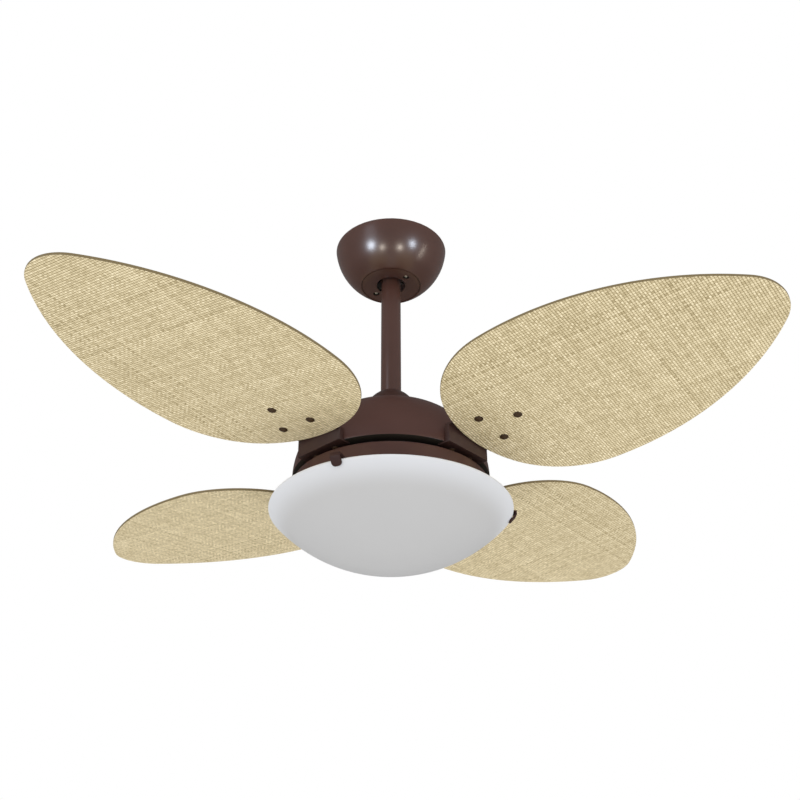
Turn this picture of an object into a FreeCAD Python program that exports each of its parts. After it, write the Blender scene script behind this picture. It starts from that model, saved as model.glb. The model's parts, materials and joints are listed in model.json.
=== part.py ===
# Ceiling fan with a lamp: four leaf-shaped blades on an outer-rotor motor under a short downrod.
# Millimetres. The origin is on the fan's axis at the ceiling, +Z is up, everything hangs below.
import FreeCAD
import Part
import Sketcher
import math
import os

Vector = FreeCAD.Vector
Rotation = FreeCAD.Rotation
Placement = FreeCAD.Placement

# Driving dimensions: alias, value, what it is
SIZES = [
    ("bracket_length", 116, "ceiling plate of the bracket, along X"),
    ("bracket_width", 36, "bracket strip, along Y"),
    ("bracket_gauge", 3, "steel of the bracket"),
    ("leg_gap", 40, "between the bracket's legs"),
    ("foot_length", 17, "bracket feet, outward from the legs"),
    ("ceiling_hole_spacing", 92, "two screws into the ceiling"),
    ("ceiling_hole_d", 6.5, "holes for them"),
    ("hanger_drop", 28, "hanger bolt's axis below the ceiling"),
    ("hanger_bolt_d", 8, "bolt that carries the fan"),
    ("hanger_hex", 13, "its head and nut, across flats"),
    ("hanger_head", 5.3, "head height"),
    ("hanger_nut_height", 6.5, "nut height"),
    ("hanger_bolt_tail", 4.5, "bolt past its nut"),
    ("cotter_d", 2, "cotter pin"),
    ("cotter_length", 16, "cotter pin"),
    ("bush_d", 20, "rubber bushes beside the rod"),
    ("running_clearance", 0.05, "radial, round bolts and pins that turn"),
    ("side_clearance", 0.3, "between curved faces that pass each other"),
    ("canopy_rim_d", 154.8, "canopy at the ceiling"),
    ("canopy_depth", 58.5, "canopy, ceiling to bottom edge"),
    ("canopy_curve_r", 80, "its bowl-shaped side"),
    ("canopy_disc_d", 84, "flat disc at the bottom"),
    ("canopy_wall", 1.5, "canopy sheet"),
    ("canopy_step", 0.6, "disc stands in from the crease"),
    ("canopy_crease", 0.9, "width of the crease round the disc"),
    ("canopy_gap", 0.5, "rim to ceiling"),
    ("canopy_hole_d", 39.8, "hole round the rod"),
    ("canopy_screw_spacing", 56.6, "two screws in the disc"),
    ("canopy_boss_d", 13.6, "bosses behind the disc"),
    ("canopy_seat", 5, "disc face to the bracket's feet"),
    ("canopy_recess_d", 9.4, "recesses of the screws"),
    ("canopy_recess_depth", 3, "their depth"),
    ("small_screw_d", 4, "canopy, arm and lamp bracket screws"),
    ("small_head_d", 7.6, "their heads"),
    ("small_head", 2.4, "head height"),
    ("screw_clearance", 0.1, "radial, holes of screws and bolts that stay put"),
    ("block_thickness", 13, "terminal block, out from the leg"),
    ("block_length", 30, "terminal block, along Y"),
    ("block_height", 13, "terminal block, upright"),
    ("block_ways", 3, "terminals"),
    ("rod_d", 26.9, "downrod"),
    ("rod_wall", 1.5, "downrod tube"),
    ("rod_length", 248, "downrod, end to end"),
    ("rod_overhang", 14, "rod above the hanger bolt"),
    ("coupling_length", 30, "shaft spigot inside the rod"),
    ("coupling_bolt_d", 6, "bolt through rod and spigot"),
    ("coupling_hex", 10, "its head and nut"),
    ("coupling_head", 4, "head height"),
    ("coupling_nut_height", 5, "nut height"),
    ("collar_height", 4, "shaft collar under the rod"),
    ("cup_base_d", 74, "motor cup at its foot"),
    ("cup_height", 38.6, "motor cup"),
    ("cup_wall", 1.2, "motor cup sheet"),
    ("cup_gap", 2, "cup over the turning housing"),
    ("grub_d", 3.2, "grub screw of the cup"),
    ("grub_drop", 8, "grub screw below the cup's top"),
    ("shaft_space", 9, "collar to the top of the housing"),
    ("housing_rim_d", 249, "motor housing at its rim"),
    ("housing_crown_d", 122, "flat crown of the dome"),
    ("housing_height", 88.8, "dome height"),
    ("housing_wall", 2, "housing sheet"),
    ("housing_lip", 16.5, "rim turned in"),
    ("shaft_hole_d", 28, "openings of the covers round the shaft"),
    ("journal_d", 17, "shaft at the bearings"),
    ("shaft_d", 20, "shaft at the stator"),
    ("shaft_bore_d", 10, "wireway"),
    ("shaft_thread_d", 15.8, "lower end"),
    ("shaft_thread_length", 16, "lower end"),
    ("bearing_d", 40, "ball bearings"),
    ("bearing_width", 12, "ball bearings"),
    ("bearing_ring", 3.3, "thickness of their rings"),
    ("ball_d", 6.4, "balls"),
    ("ball_count", 8, "balls in each bearing"),
    ("hub_wall", 4, "bearing seats in the covers"),
    ("fit_gap", 0.02, "rings on their seats"),
    ("plate_gauge", 2.5, "rotor bottom cover"),
    ("plate_inset", 4.5, "bottom cover inside the rim"),
    ("cage_ratio", 0.739, "rotor ring, share of the housing's rim"),
    ("stator_stack", 32, "height of its laminations"),
    ("slot_count", 12, "stator slots"),
    ("slot_width_ratio", 0.1286, "stator slots, share of the stator's radius"),
    ("slot_depth_ratio", 0.3714, "stator slots, share of the stator's radius"),
    ("winding_height", 11, "end windings above and below the core"),
    ("air_gap", 0.6, "stator to rotor"),
    ("cage_wall_ratio", 0.2326, "thickness of the rotor ring, share of its radius"),
    ("cage_height", 40, "rotor ring"),
    ("cage_screw_d", 5, "screws from the bottom cover into the ring"),
    ("cage_screw_bite", 12, "their length in the ring"),
    ("blade_count", 4, "blades"),
    ("blade_height", 3.8, "blade plane at the axis above the rim"),
    ("blade_pitch_angle", -6.02, "degrees about the blade's length"),
    ("blade_cone_angle", 4.15, "degrees, tips up"),
    ("blade_sweep_angle", 2.27, "degrees, leaf turned on its arm"),
    ("blade_offset", -3.4, "leaf's middle line off the axis"),
    ("blade_gap", 5.1, "blade's inner end off the housing's rim"),
    ("blade_length", 404.9, "inner end to tip"),
    ("blade_width", 283.8, "at the widest"),
    ("blade_widest", 142.3, "where that is, from the inner end"),
    ("blade_tip_round", 57, "radius of the tip"),
    ("blade_root_ratio", 1.224, "radius of the inner end over half the width"),
    ("blade_shoulder_ratio", 0.811, "inner corner's round ends at this part of the way to the widest"),
    ("blade_thickness", 3.6, "panel"),
    ("blade_screw_d", 4.8, "three through each blade"),
    ("blade_head_d", 9.6, "their heads"),
    ("blade_head", 2.8, "head height"),
    ("blade_nut_hex", 8, "nuts on the arms"),
    ("blade_nut_height", 4, "nut height"),
    ("blade_screw_tail", 1, "screw past its nut"),
    ("inner_screws_at", 39.1, "two screws, out from the housing's rim"),
    ("inner_screws_apart", 47.4, "across the blade"),
    ("outer_screw_at", 78.5, "third screw, out from the rim"),
    ("arm_width", 71, "arm at the housing"),
    ("arm_gauge", 2.2, "arm steel"),
    ("arm_gap", 0.6, "arm flange off the housing's rim"),
    ("arm_lip", 18, "arm's foot under the rim"),
    ("arm_end_round", 11, "round end of the pad"),
    ("arm_screw_inset", 10.5, "screws of the foot, in from the rim"),
    ("arm_screw_apart", 32, "across the foot"),
    ("pan_gap", 3.6, "arm screws to the light pan"),
    ("pan_depth", 33.5, "its wall"),
    ("pan_wall", 1.5, "sheet"),
    ("pan_edge", 2.5, "rounded upper edge"),
    ("pan_nut_hex", 24, "nut under the pan"),
    ("pan_nut_height", 8, "nut height"),
    ("lamp_strip_width", 40, "lamp bracket, along Y"),
    ("lamp_strip_length", 60, "over its tabs, along X"),
    ("lamp_strip_gauge", 1.5, "steel"),
    ("lamp_tab", 52, "drop of the tabs"),
    ("lamp_drop", 34.5, "lamp axis under the pan"),
    ("lamp_wire_d", 8, "wire holes in the tabs"),
    ("lamp_screw_inset", 2.7, "heads of the bracket's screws off its tabs"),
    ("nut_window_d", 32, "opening of the bracket round the pan nut"),
    ("holder_ratio", 0.46, "lamp holder, share of the lamp's reach"),
    ("holder_d", 38, "its skirt"),
    ("holder_back_d", 30, "its back"),
    ("holder_back", 11, "length of the back"),
    ("socket_d", 26.8, "bore for the lamp cap"),
    ("socket_ratio", 0.65, "its depth, share of the holder"),
    ("cap_d", 26.4, "lamp cap"),
    ("cap_nose", 4, "contact end of the cap"),
    ("bulb_ratio", 0.517, "bulb's diameter, share of the lamp's reach"),
    ("bulb_clearance", 5.5, "bulb's end off the pan's wall"),
    ("capacitor_length", 38, "capacitor, along X"),
    ("capacitor_width", 28, "along Y"),
    ("capacitor_height", 20, "below the pan"),
    ("capacitor_at", 62, "from the axis, along Y"),
    ("glass_d", 304, "glass bowl at its rim"),
    ("glass_depth", 69.5, "rim to bottom"),
    ("glass_rim_round", 2, "outer radius of the rim"),
    ("glass_wall", 3, "glass"),
    ("glass_shoulder", 25, "flat turned in to the mouth"),
    ("glass_mouth_gap", 3, "mouth round the pan's wall"),
    ("glass_overlap", 1, "pan wall inside the mouth"),
    ("claw_azimuth_angle", -71, "sprung claw, degrees from +X"),
    ("claw_count", 3, "claws"),
    ("claw_width", 13, "strip"),
    ("claw_gauge", 2, "strip"),
    ("claw_gap", 0.4, "tongue off the glass"),
    ("claw_side_gap", 4, "claw's bend off the rim"),
    ("claw_lift", 4, "claw above the glass"),
    ("claw_web_inset", 26, "upright part, in from the pan's wall"),
    ("claw_foot", 15, "foot under the pan, inward"),
    ("claw_tongue", 5, "under the glass"),
    ("claw_tip_round", 5, "rounded end"),
    ("claw_travel", 8, "sprung claw, outward"),
    ("claw_slack", 0.2, "foot under the pan"),
    ("notch_gap", 1.5, "claw in its notch of the pan"),
    ("notch_extra", 9, "wider notch beside the sprung claw"),
    ("rivet_d", 4, "claw rivets"),
    ("rivet_head_d", 7, "rivet heads"),
    ("rivet_head", 1.2, "head height"),
    ("spring_d", 9, "claw spring"),
    ("spring_wire", 0.9, "its wire"),
    ("spring_turns", 6, "its turns"),
    ("spring_drop", 14, "its axis under the pan"),
]

doc = FreeCAD.newDocument("ceiling_fan")
sheet = doc.addObject("Spreadsheet::Sheet", "sizes")
for row, (alias, value, note) in enumerate(SIZES, start=1):
    sheet.set("A%d" % row, alias)
    sheet.set("B%d" % row, str(value))
    sheet.setAlias("B%d" % row, alias)
    sheet.set("C%d" % row, note)
doc.recompute()


class Size:
    # A number together with the formula that gives it from the sheet.
    def __init__(self, value, text):
        self.value = value
        self.text = text

    def __add__(self, other):
        other = as_size(other)
        return Size(self.value + other.value, "(%s + %s)" % (self.text, other.text))

    def __sub__(self, other):
        other = as_size(other)
        return Size(self.value - other.value, "(%s - %s)" % (self.text, other.text))

    def __mul__(self, other):
        other = as_size(other)
        return Size(self.value * other.value, "(%s * %s)" % (self.text, other.text))

    def __truediv__(self, other):
        other = as_size(other)
        return Size(self.value / other.value, "(%s / %s)" % (self.text, other.text))

    def __neg__(self):
        return Size(-self.value, "(0 - %s)" % self.text)


def as_size(number):
    return number if isinstance(number, Size) else Size(float(number), repr(float(number)))


def size(alias):
    return Size(float(sheet.get(alias)), "sizes.%s" % alias)


def root(number):
    return Size(math.sqrt(number.value), "sqrt(%s)" % number.text)


def tangent(angle):
    return Size(math.tan(math.radians(angle.value)), "tan(%s)" % angle.text)


def count(alias):
    return int(size(alias).value)


NOUGHT = as_size(0)

# Heights that several pieces share
bolt_z = -size("hanger_drop")
rod_top = bolt_z + size("rod_overhang")
rod_end = rod_top - size("rod_length")
coupling_z = rod_end + size("coupling_length") / 2
collar_end = rod_end - size("collar_height")
housing_top = collar_end - size("shaft_space")
cup_base = housing_top + size("cup_gap")
cup_top = cup_base + size("cup_height")
rim_z = housing_top - size("housing_height")
lip_top = rim_z + size("housing_wall")
plate_top = lip_top + size("plate_gauge")
upper_bearing_top = housing_top - size("housing_wall")
upper_bearing_end = upper_bearing_top - size("bearing_width")
lower_bearing_top = plate_top + size("bearing_width")
stator_z = (upper_bearing_end + lower_bearing_top) / 2
cage_end = stator_z - size("cage_height") / 2
arm_foot_z = rim_z - size("arm_gauge")
pan_top = arm_foot_z - size("small_head") - size("pan_gap")
pan_under = pan_top - size("pan_wall")
pan_end = pan_top - size("pan_depth")
lamp_z = pan_under - size("lamp_drop")
glass_top = pan_end + size("glass_overlap")
glass_rim_z = glass_top - size("glass_rim_round")
glass_bottom = glass_rim_z - size("glass_depth")
blade_plane = rim_z + size("blade_height")
disc_face = size("canopy_step") - size("canopy_depth")
foot_under = disc_face + size("canopy_seat")

# Radii that several pieces share
rod_r = size("rod_d") / 2
rod_bore_r = rod_r - size("rod_wall")
small_r = size("small_screw_d") / 2
small_hole_r = small_r + size("screw_clearance")
rim_r = size("housing_rim_d") / 2
crown_r = size("housing_crown_d") / 2
bearing_r = size("bearing_d") / 2
journal_r = size("journal_d") / 2
cage_out_r = rim_r * size("cage_ratio")
cage_wall = cage_out_r * size("cage_wall_ratio")
cage_r = cage_out_r - cage_wall
stator_r = cage_r - size("air_gap")
plate_r = rim_r - size("plate_inset")
glass_r = size("glass_d") / 2
glass_mouth_r = glass_r - size("glass_shoulder")
pan_r = glass_mouth_r - size("glass_mouth_gap")
pan_inner_r = pan_r - size("pan_wall")
claw_web_r = pan_r - size("claw_web_inset")
lamp_seat_x = size("lamp_strip_length") / 2
lamp_screw_x = lamp_seat_x - size("lamp_strip_gauge") - size("small_head_d") / 2 - size("lamp_screw_inset")
lamp_reach = pan_inner_r - size("bulb_clearance") - lamp_seat_x
holder_length = lamp_reach * size("holder_ratio")
holder_floor = holder_length - holder_length * size("socket_ratio")
inner_screws_x = rim_r + size("inner_screws_at")
outer_screw_x = rim_r + size("outer_screw_at")
arm_screw_x = rim_r - size("arm_screw_inset")

nodes = []


def new_body(label):
    body = doc.addObject("PartDesign::Body", label)
    body.Label = label
    return body


def keep(label, piece):
    piece.Label = label
    nodes.append((label, piece))
    return piece


def sketch_on(body, name, role, offset=None):
    sketch = body.newObject("Sketcher::SketchObject", name)
    plane = [item for item in body.Origin.OriginFeatures if item.Role == role][0]
    sketch.AttachmentSupport = [(plane, "")]
    sketch.MapMode = "FlatFace"
    if offset is not None:
        sketch.AttachmentOffset = offset
    return sketch


def place_point(sketch, geometry, position, point):
    # Ties one sketch point to its two coordinates.
    for kind, axis, coordinate in (("DistanceX", -2, point[0]), ("DistanceY", -1, point[1])):
        if coordinate is NOUGHT:
            sketch.addConstraint(Sketcher.Constraint("PointOnObject", geometry, position, axis))
            continue
        index = sketch.addConstraint(Sketcher.Constraint(kind, -1, 1, geometry, position, coordinate.value))
        sketch.setExpression("Constraints[%d]" % index, coordinate.text)


def arc_between(start, end, radius):
    # The shorter arc from start to end, drawn anticlockwise.
    chord = end - start
    left = Vector(-chord.y, chord.x, 0).normalize()
    centre = (start + end) * 0.5 + left * math.sqrt(radius ** 2 - (chord.Length / 2) ** 2)
    first = math.atan2(start.y - centre.y, start.x - centre.x)
    last = math.atan2(end.y - centre.y, end.x - centre.x)
    if last < first:
        last += 2 * math.pi
    return Part.ArcOfCircle(Part.Circle(centre, Vector(0, 0, 1), radius), first, last)


def draw_outline(sketch, corners, arcs=()):
    # A closed outline. arcs gives, by a side's first corner, its radius and the centre's side, 1 is left.
    arcs = dict(arcs)
    points = [Vector(x.value, y.value, 0) for x, y in corners]
    starts = []
    ends = []
    for i, start in enumerate(points):
        end = points[(i + 1) % len(points)]
        flipped = False
        if i in arcs:
            radius, side = arcs[i]
            flipped = side < 0
            if flipped:
                index = sketch.addGeometry(arc_between(end, start, radius.value))
            else:
                index = sketch.addGeometry(arc_between(start, end, radius.value))
        else:
            index = sketch.addGeometry(Part.LineSegment(start, end))
        starts.append((index, 2 if flipped else 1))
        ends.append((index, 1 if flipped else 2))
    for i, (x, y) in enumerate(corners):
        sketch.addConstraint(Sketcher.Constraint("Coincident", *ends[i - 1], *starts[i]))
        place_point(sketch, *starts[i], (x, y))
    for i, (radius, side) in arcs.items():
        index = sketch.addConstraint(Sketcher.Constraint("Radius", starts[i][0], radius.value))
        sketch.setExpression("Constraints[%d]" % index, radius.text)


def draw_circle(sketch, x, y, radius):
    index = sketch.addGeometry(Part.Circle(Vector(x.value, y.value, 0), Vector(0, 0, 1), radius.value))
    place_point(sketch, index, 3, (x, y))
    number = sketch.addConstraint(Sketcher.Constraint("Radius", index, radius.value))
    sketch.setExpression("Constraints[%d]" % number, radius.text)


def draw_hexagon(sketch, flats):
    corner = flats / math.sqrt(3)
    half = corner / 2
    flat = flats / 2
    right = [(half, flat), (corner, NOUGHT), (half, -flat)]
    left = [(-half, -flat), (-corner, NOUGHT), (-half, flat)]
    draw_outline(sketch, right + left)


def turn(body, corners, arcs=()):
    # Revolves an outline of radii and heights about the body's Z axis.
    sketch = sketch_on(body, "profile", "XZ_Plane")
    draw_outline(sketch, corners, arcs)
    solid = body.newObject("PartDesign::Revolution", "turned")
    solid.Profile = sketch
    solid.ReferenceAxis = (sketch, ["V_Axis"])
    solid.Angle = 360
    body.Tip = solid
    return solid


def pad(body, sketch, length, symmetric=False, downward=False):
    solid = body.newObject("PartDesign::Pad", "pad")
    solid.Profile = sketch
    solid.setExpression("Length", length.text)
    solid.SideType = "Symmetric" if symmetric else "One side"
    solid.Reversed = downward
    body.Tip = solid
    return solid


def cut(body, sketch, length=None, upward=False):
    # Pockets a sketch: right through both ways, or by a length below its plane, or above it.
    hollow = body.newObject("PartDesign::Pocket", "cut")
    hollow.Profile = sketch
    if length is None:
        hollow.Type = "ThroughAll"
        hollow.SideType = "Symmetric"
    else:
        hollow.setExpression("Length", length.text)
        hollow.Reversed = upward
    body.Tip = hollow
    return hollow


def raise_sketch(sketch, height):
    sketch.setExpression("AttachmentOffset.Base.z", height.text)


def drill(body, role, centres, radius, height=None, length=None, upward=False):
    # Round holes square to one of the body's planes.
    sketch = sketch_on(body, "holes", role)
    if height is not None:
        raise_sketch(sketch, height)
    for x, y in centres:
        draw_circle(sketch, x, y, radius)
    return cut(body, sketch, length, upward)


def both_sides(half):
    return [(half, NOUGHT), (-half, NOUGHT)]


def ring(label, inner_r, outer_r, low, high):
    body = new_body(label)
    turn(body, [(inner_r, low), (outer_r, low), (outer_r, high), (inner_r, high)])
    return body


def spun(azimuth):
    return Placement(Vector(0, 0, 0), Rotation(Vector(0, 0, 1), azimuth))


def group(label, shapes):
    piece = doc.addObject("Part::Feature", label)
    piece.Shape = Part.makeCompound(shapes)
    return keep(label, piece)


def screw_shape(shank_r, head_r, head, length):
    # Shank up from the origin, a domed head below it.
    dome = head * 0.85
    curve = (head_r ** 2 + dome ** 2) / (2 * dome)
    lean = math.asin(head_r / curve) / 2
    halfway = Vector(curve * math.sin(lean), 0, curve - curve * math.cos(lean) - head)
    corner = Vector(head_r, 0, dome - head)
    edges = [
        Part.LineSegment(Vector(0, 0, length), Vector(shank_r, 0, length)),
        Part.LineSegment(Vector(shank_r, 0, length), Vector(shank_r, 0, 0)),
        Part.LineSegment(Vector(shank_r, 0, 0), Vector(head_r, 0, 0)),
        Part.LineSegment(Vector(head_r, 0, 0), corner),
        Part.Arc(corner, halfway, Vector(0, 0, -head)),
        Part.LineSegment(Vector(0, 0, -head), Vector(0, 0, length)),
    ]
    face = Part.Face(Part.Wire([edge.toShape() for edge in edges]))
    return face.revolve(Vector(0, 0, 0), Vector(0, 0, 1), 360)


def small_headed(shank_r, length):
    return screw_shape(shank_r.value, size("small_head_d").value / 2, size("small_head").value, length.value)


def nut_shape(flats, bore_r, height):
    corner = flats / math.sqrt(3)
    wire = Part.makePolygon([spun(60 * i).multVec(Vector(corner, 0, 0)) for i in range(7)])
    prism = Part.Face(wire).extrude(Vector(0, 0, height))
    return prism.cut(Part.makeCylinder(bore_r, height))


def moved(shape, *placements):
    copy = shape.copy()
    place = Placement()
    for step in placements:
        place = place.multiply(step)
    copy.Placement = place
    return copy


def shifted(x, y, z):
    return Placement(Vector(x, y, z), Rotation())


# Ceiling bracket: a plate with two legs that carry the hanger bolt and feet that take the canopy's screws
def make_bracket():
    body = new_body("ceiling_bracket")
    gauge = size("bracket_gauge")
    end = size("bracket_length") / 2
    inner = size("leg_gap") / 2
    outer = inner + gauge
    toe = outer + size("foot_length")
    foot_over = foot_under + gauge
    right = [
        (end, NOUGHT), (end, -gauge), (outer, -gauge), (outer, foot_over),
        (toe, foot_over), (toe, foot_under), (inner, foot_under), (inner, -gauge),
    ]
    left = [(-x, y) for x, y in reversed(right)]
    sketch = sketch_on(body, "strip", "XZ_Plane")
    draw_outline(sketch, right + left)
    pad(body, sketch, size("bracket_width"), symmetric=True)
    bolts = both_sides(size("ceiling_hole_spacing") / 2)
    drill(body, "XY_Plane", bolts, size("ceiling_hole_d") / 2, None, gauge)
    drill(body, "XY_Plane", both_sides(size("canopy_screw_spacing") / 2), small_hole_r, foot_over, gauge)
    drill(body, "YZ_Plane", [(NOUGHT, bolt_z)], size("hanger_bolt_d") / 2 + size("running_clearance"))
    return keep("ceiling_bracket", body)


# Hanger bolt along X with its nut, cotter pin and rubber bushes
def make_hanger():
    side = size("leg_gap") / 2 + size("bracket_gauge")
    bolt_r = size("hanger_bolt_d") / 2
    nut_end = side + size("hanger_nut_height")
    cotter_x = nut_end + size("hanger_bolt_tail") / 2
    bolt = new_body("hanger_bolt")
    head = sketch_on(bolt, "head", "YZ_Plane")
    draw_hexagon(head, size("hanger_hex"))
    raise_sketch(head, -side)
    pad(bolt, head, size("hanger_head"), downward=True)
    shank = sketch_on(bolt, "shank", "YZ_Plane")
    draw_circle(shank, NOUGHT, NOUGHT, bolt_r)
    raise_sketch(shank, -side)
    pad(bolt, shank, side + nut_end + size("hanger_bolt_tail"))
    drill(bolt, "XY_Plane", [(cotter_x, NOUGHT)], size("cotter_d") / 2 + size("running_clearance"))
    bolt.setExpression("Placement.Base.z", bolt_z.text)
    keep("hanger_bolt", bolt)

    nut = new_body("hanger_nut")
    shape = sketch_on(nut, "hexagon", "YZ_Plane")
    draw_hexagon(shape, size("hanger_hex"))
    draw_circle(shape, NOUGHT, NOUGHT, bolt_r + size("running_clearance"))
    raise_sketch(shape, side)
    pad(nut, shape, size("hanger_nut_height"))
    nut.setExpression("Placement.Base.z", bolt_z.text)
    keep("hanger_nut", nut)

    pin = doc.addObject("Part::Cylinder", "cotter_pin")
    pin.setExpression("Radius", (size("cotter_d") / 2).text)
    pin.setExpression("Height", size("cotter_length").text)
    pin.setExpression("Placement.Base.x", cotter_x.text)
    pin.setExpression("Placement.Base.z", (bolt_z - size("cotter_length") / 2).text)
    keep("cotter_pin", pin)

    near = rod_r + size("side_clearance")
    far = size("leg_gap") / 2
    length = (far - near).value
    shape = Part.makeCylinder(size("bush_d").value / 2, length, Vector(0, 0, 0), Vector(1, 0, 0))
    bore = (bolt_r + size("running_clearance")).value
    shape = shape.cut(Part.makeCylinder(bore, length, Vector(), Vector(1, 0, 0)))
    places = [shifted(near.value, 0, bolt_z.value), shifted(-far.value, 0, bolt_z.value)]
    group("hanger_bushes", [moved(shape, place) for place in places])


# Terminal block on a bracket leg, above the hanger bolt
def make_terminal_block():
    body = new_body("terminal_block")
    base = sketch_on(body, "base", "XY_Plane")
    depth = size("block_thickness")
    half = size("block_length") / 2
    draw_outline(base, [(NOUGHT, half), (depth, half), (depth, -half), (NOUGHT, -half)])
    pad(body, base, size("block_height"))
    pitch = size("block_length") / size("block_ways")
    ways = count("block_ways")
    holes = [(size("block_height") / 2, pitch * (i + 0.5) - half) for i in range(ways)]
    drill(body, "YZ_Plane", [(y, z) for z, y in holes], pitch / 4, depth, depth / 2)
    body.setExpression("Placement.Base.x", (size("leg_gap") / 2 + size("bracket_gauge")).text)
    body.setExpression("Placement.Base.z", (-size("bracket_gauge") - size("block_height") - 1).text)
    keep("terminal_block", body)


# Canopy: a bowl-shaped shell with a flat disc, recessed screw seats and a hole round the rod
def make_canopy():
    body = new_body("canopy")
    wall = size("canopy_wall")
    rim = size("canopy_rim_d") / 2
    disc = size("canopy_disc_d") / 2
    step = disc - size("canopy_crease")
    hole = size("canopy_hole_d") / 2
    top = -size("canopy_gap")
    bottom = -size("canopy_depth")
    inside = disc_face + wall
    curve = size("canopy_curve_r")
    corners = [
        (hole, disc_face), (step, disc_face), (step, bottom), (disc, bottom), (rim, top),
        (rim - wall, top), (disc - wall, inside), (hole, inside),
    ]
    turn(body, corners, {3: (curve, 1), 5: (curve - wall, -1)})
    screws = both_sides(size("canopy_screw_spacing") / 2)
    bosses = sketch_on(body, "bosses", "XY_Plane")
    raise_sketch(bosses, disc_face)
    for x, y in screws:
        draw_circle(bosses, x, y, size("canopy_boss_d") / 2)
    pad(body, bosses, size("canopy_seat"))
    drill(body, "XY_Plane", screws, size("canopy_recess_d") / 2, disc_face, size("canopy_recess_depth"), True)
    drill(body, "XY_Plane", screws, small_hole_r, disc_face, size("canopy_seat"), True)
    keep("canopy", body)

    seat = disc_face + size("canopy_recess_depth")
    length = foot_under + size("bracket_gauge") - seat + small_r
    shape = small_headed(small_r, length)
    group("canopy_screws", [moved(shape, shifted(x.value, 0, seat.value)) for x, y in screws])


# Downrod tube with a hole for the hanger bolt and one for the coupling bolt
def make_rod():
    body = new_body("downrod")
    turn(body, [(rod_bore_r, rod_end), (rod_r, rod_end), (rod_r, rod_top), (rod_bore_r, rod_top)])
    drill(body, "YZ_Plane", [(NOUGHT, bolt_z)], size("hanger_bolt_d") / 2 + size("running_clearance"))
    drill(body, "XZ_Plane", [(NOUGHT, coupling_z)], size("coupling_bolt_d") / 2 + size("screw_clearance"))
    keep("downrod", body)


# Bolt along Y that joins the rod to the shaft's spigot
def make_coupling():
    bolt_r = size("coupling_bolt_d") / 2
    bolt = new_body("coupling_bolt")
    head = sketch_on(bolt, "head", "XZ_Plane")
    draw_hexagon(head, size("coupling_hex"))
    raise_sketch(head, rod_r)
    pad(bolt, head, size("coupling_head"))
    shank = sketch_on(bolt, "shank", "XZ_Plane")
    draw_circle(shank, NOUGHT, NOUGHT, bolt_r)
    raise_sketch(shank, rod_r)
    pad(bolt, shank, rod_r * 2 + size("coupling_nut_height") + 1, downward=True)
    bolt.setExpression("Placement.Base.z", coupling_z.text)
    keep("coupling_bolt", bolt)

    nut = new_body("coupling_nut")
    shape = sketch_on(nut, "hexagon", "XZ_Plane")
    draw_hexagon(shape, size("coupling_hex"))
    draw_circle(shape, NOUGHT, NOUGHT, bolt_r + size("running_clearance"))
    raise_sketch(shape, -rod_r)
    pad(nut, shape, size("coupling_nut_height"), downward=True)
    nut.setExpression("Placement.Base.z", coupling_z.text)
    keep("coupling_nut", nut)


# Motor cup: a small bell that hides the coupling, held on the rod by a grub screw
def make_cup():
    body = new_body("motor_cup")
    wall = size("cup_wall")
    neck = rod_r + size("screw_clearance")
    foot = size("cup_base_d") / 2
    spread = foot - neck
    curve = (spread * spread + size("cup_height") * size("cup_height")) / (spread * 2)
    centre = foot - curve
    inner = curve - wall
    neck_under = cup_base + root(inner * inner - (neck - centre) * (neck - centre))
    corners = [(neck, neck_under), (neck, cup_top), (foot, cup_base), (foot - wall, cup_base)]
    turn(body, corners, {1: (curve, -1), 3: (inner, 1)})
    grub_z = cup_top - size("grub_drop")
    grub_r = size("grub_d") / 2
    drill(body, "YZ_Plane", [(NOUGHT, grub_z)], grub_r + size("running_clearance"), NOUGHT, foot, True)
    keep("motor_cup", body)

    reach = grub_z - grub_r - cup_base
    grub = doc.addObject("Part::Cylinder", "cup_grub_screw")
    grub.setExpression("Radius", grub_r.text)
    grub.setExpression("Height", (centre + root(curve * curve - reach * reach) - rod_r).text)
    grub.Placement = Placement(Vector(0, 0, 0), Rotation(Vector(0, 1, 0), 90))
    grub.setExpression("Placement.Base.x", rod_r.text)
    grub.setExpression("Placement.Base.z", grub_z.text)
    keep("cup_grub_screw", grub)


# Hollow fixed shaft: spigot in the rod, collar, two journals, stator seat and a threaded lower end
def make_shaft():
    body = new_body("motor_shaft")
    bore = size("shaft_bore_d") / 2
    spigot = rod_bore_r - size("screw_clearance")
    seat = size("shaft_d") / 2
    thread = size("shaft_thread_d") / 2
    spigot_top = rod_end + size("coupling_length")
    thread_end = pan_top - size("shaft_thread_length")
    corners = [
        (bore, thread_end), (thread, thread_end), (thread, pan_top), (journal_r, pan_top),
        (journal_r, lower_bearing_top), (seat, lower_bearing_top), (seat, upper_bearing_end),
        (journal_r, upper_bearing_end), (journal_r, collar_end), (rod_r, collar_end),
        (rod_r, rod_end), (spigot, rod_end), (spigot, spigot_top), (bore, spigot_top),
    ]
    turn(body, corners)
    drill(body, "XZ_Plane", [(NOUGHT, coupling_z)], size("coupling_bolt_d") / 2 + size("screw_clearance"))
    keep("motor_shaft", body)


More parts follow.
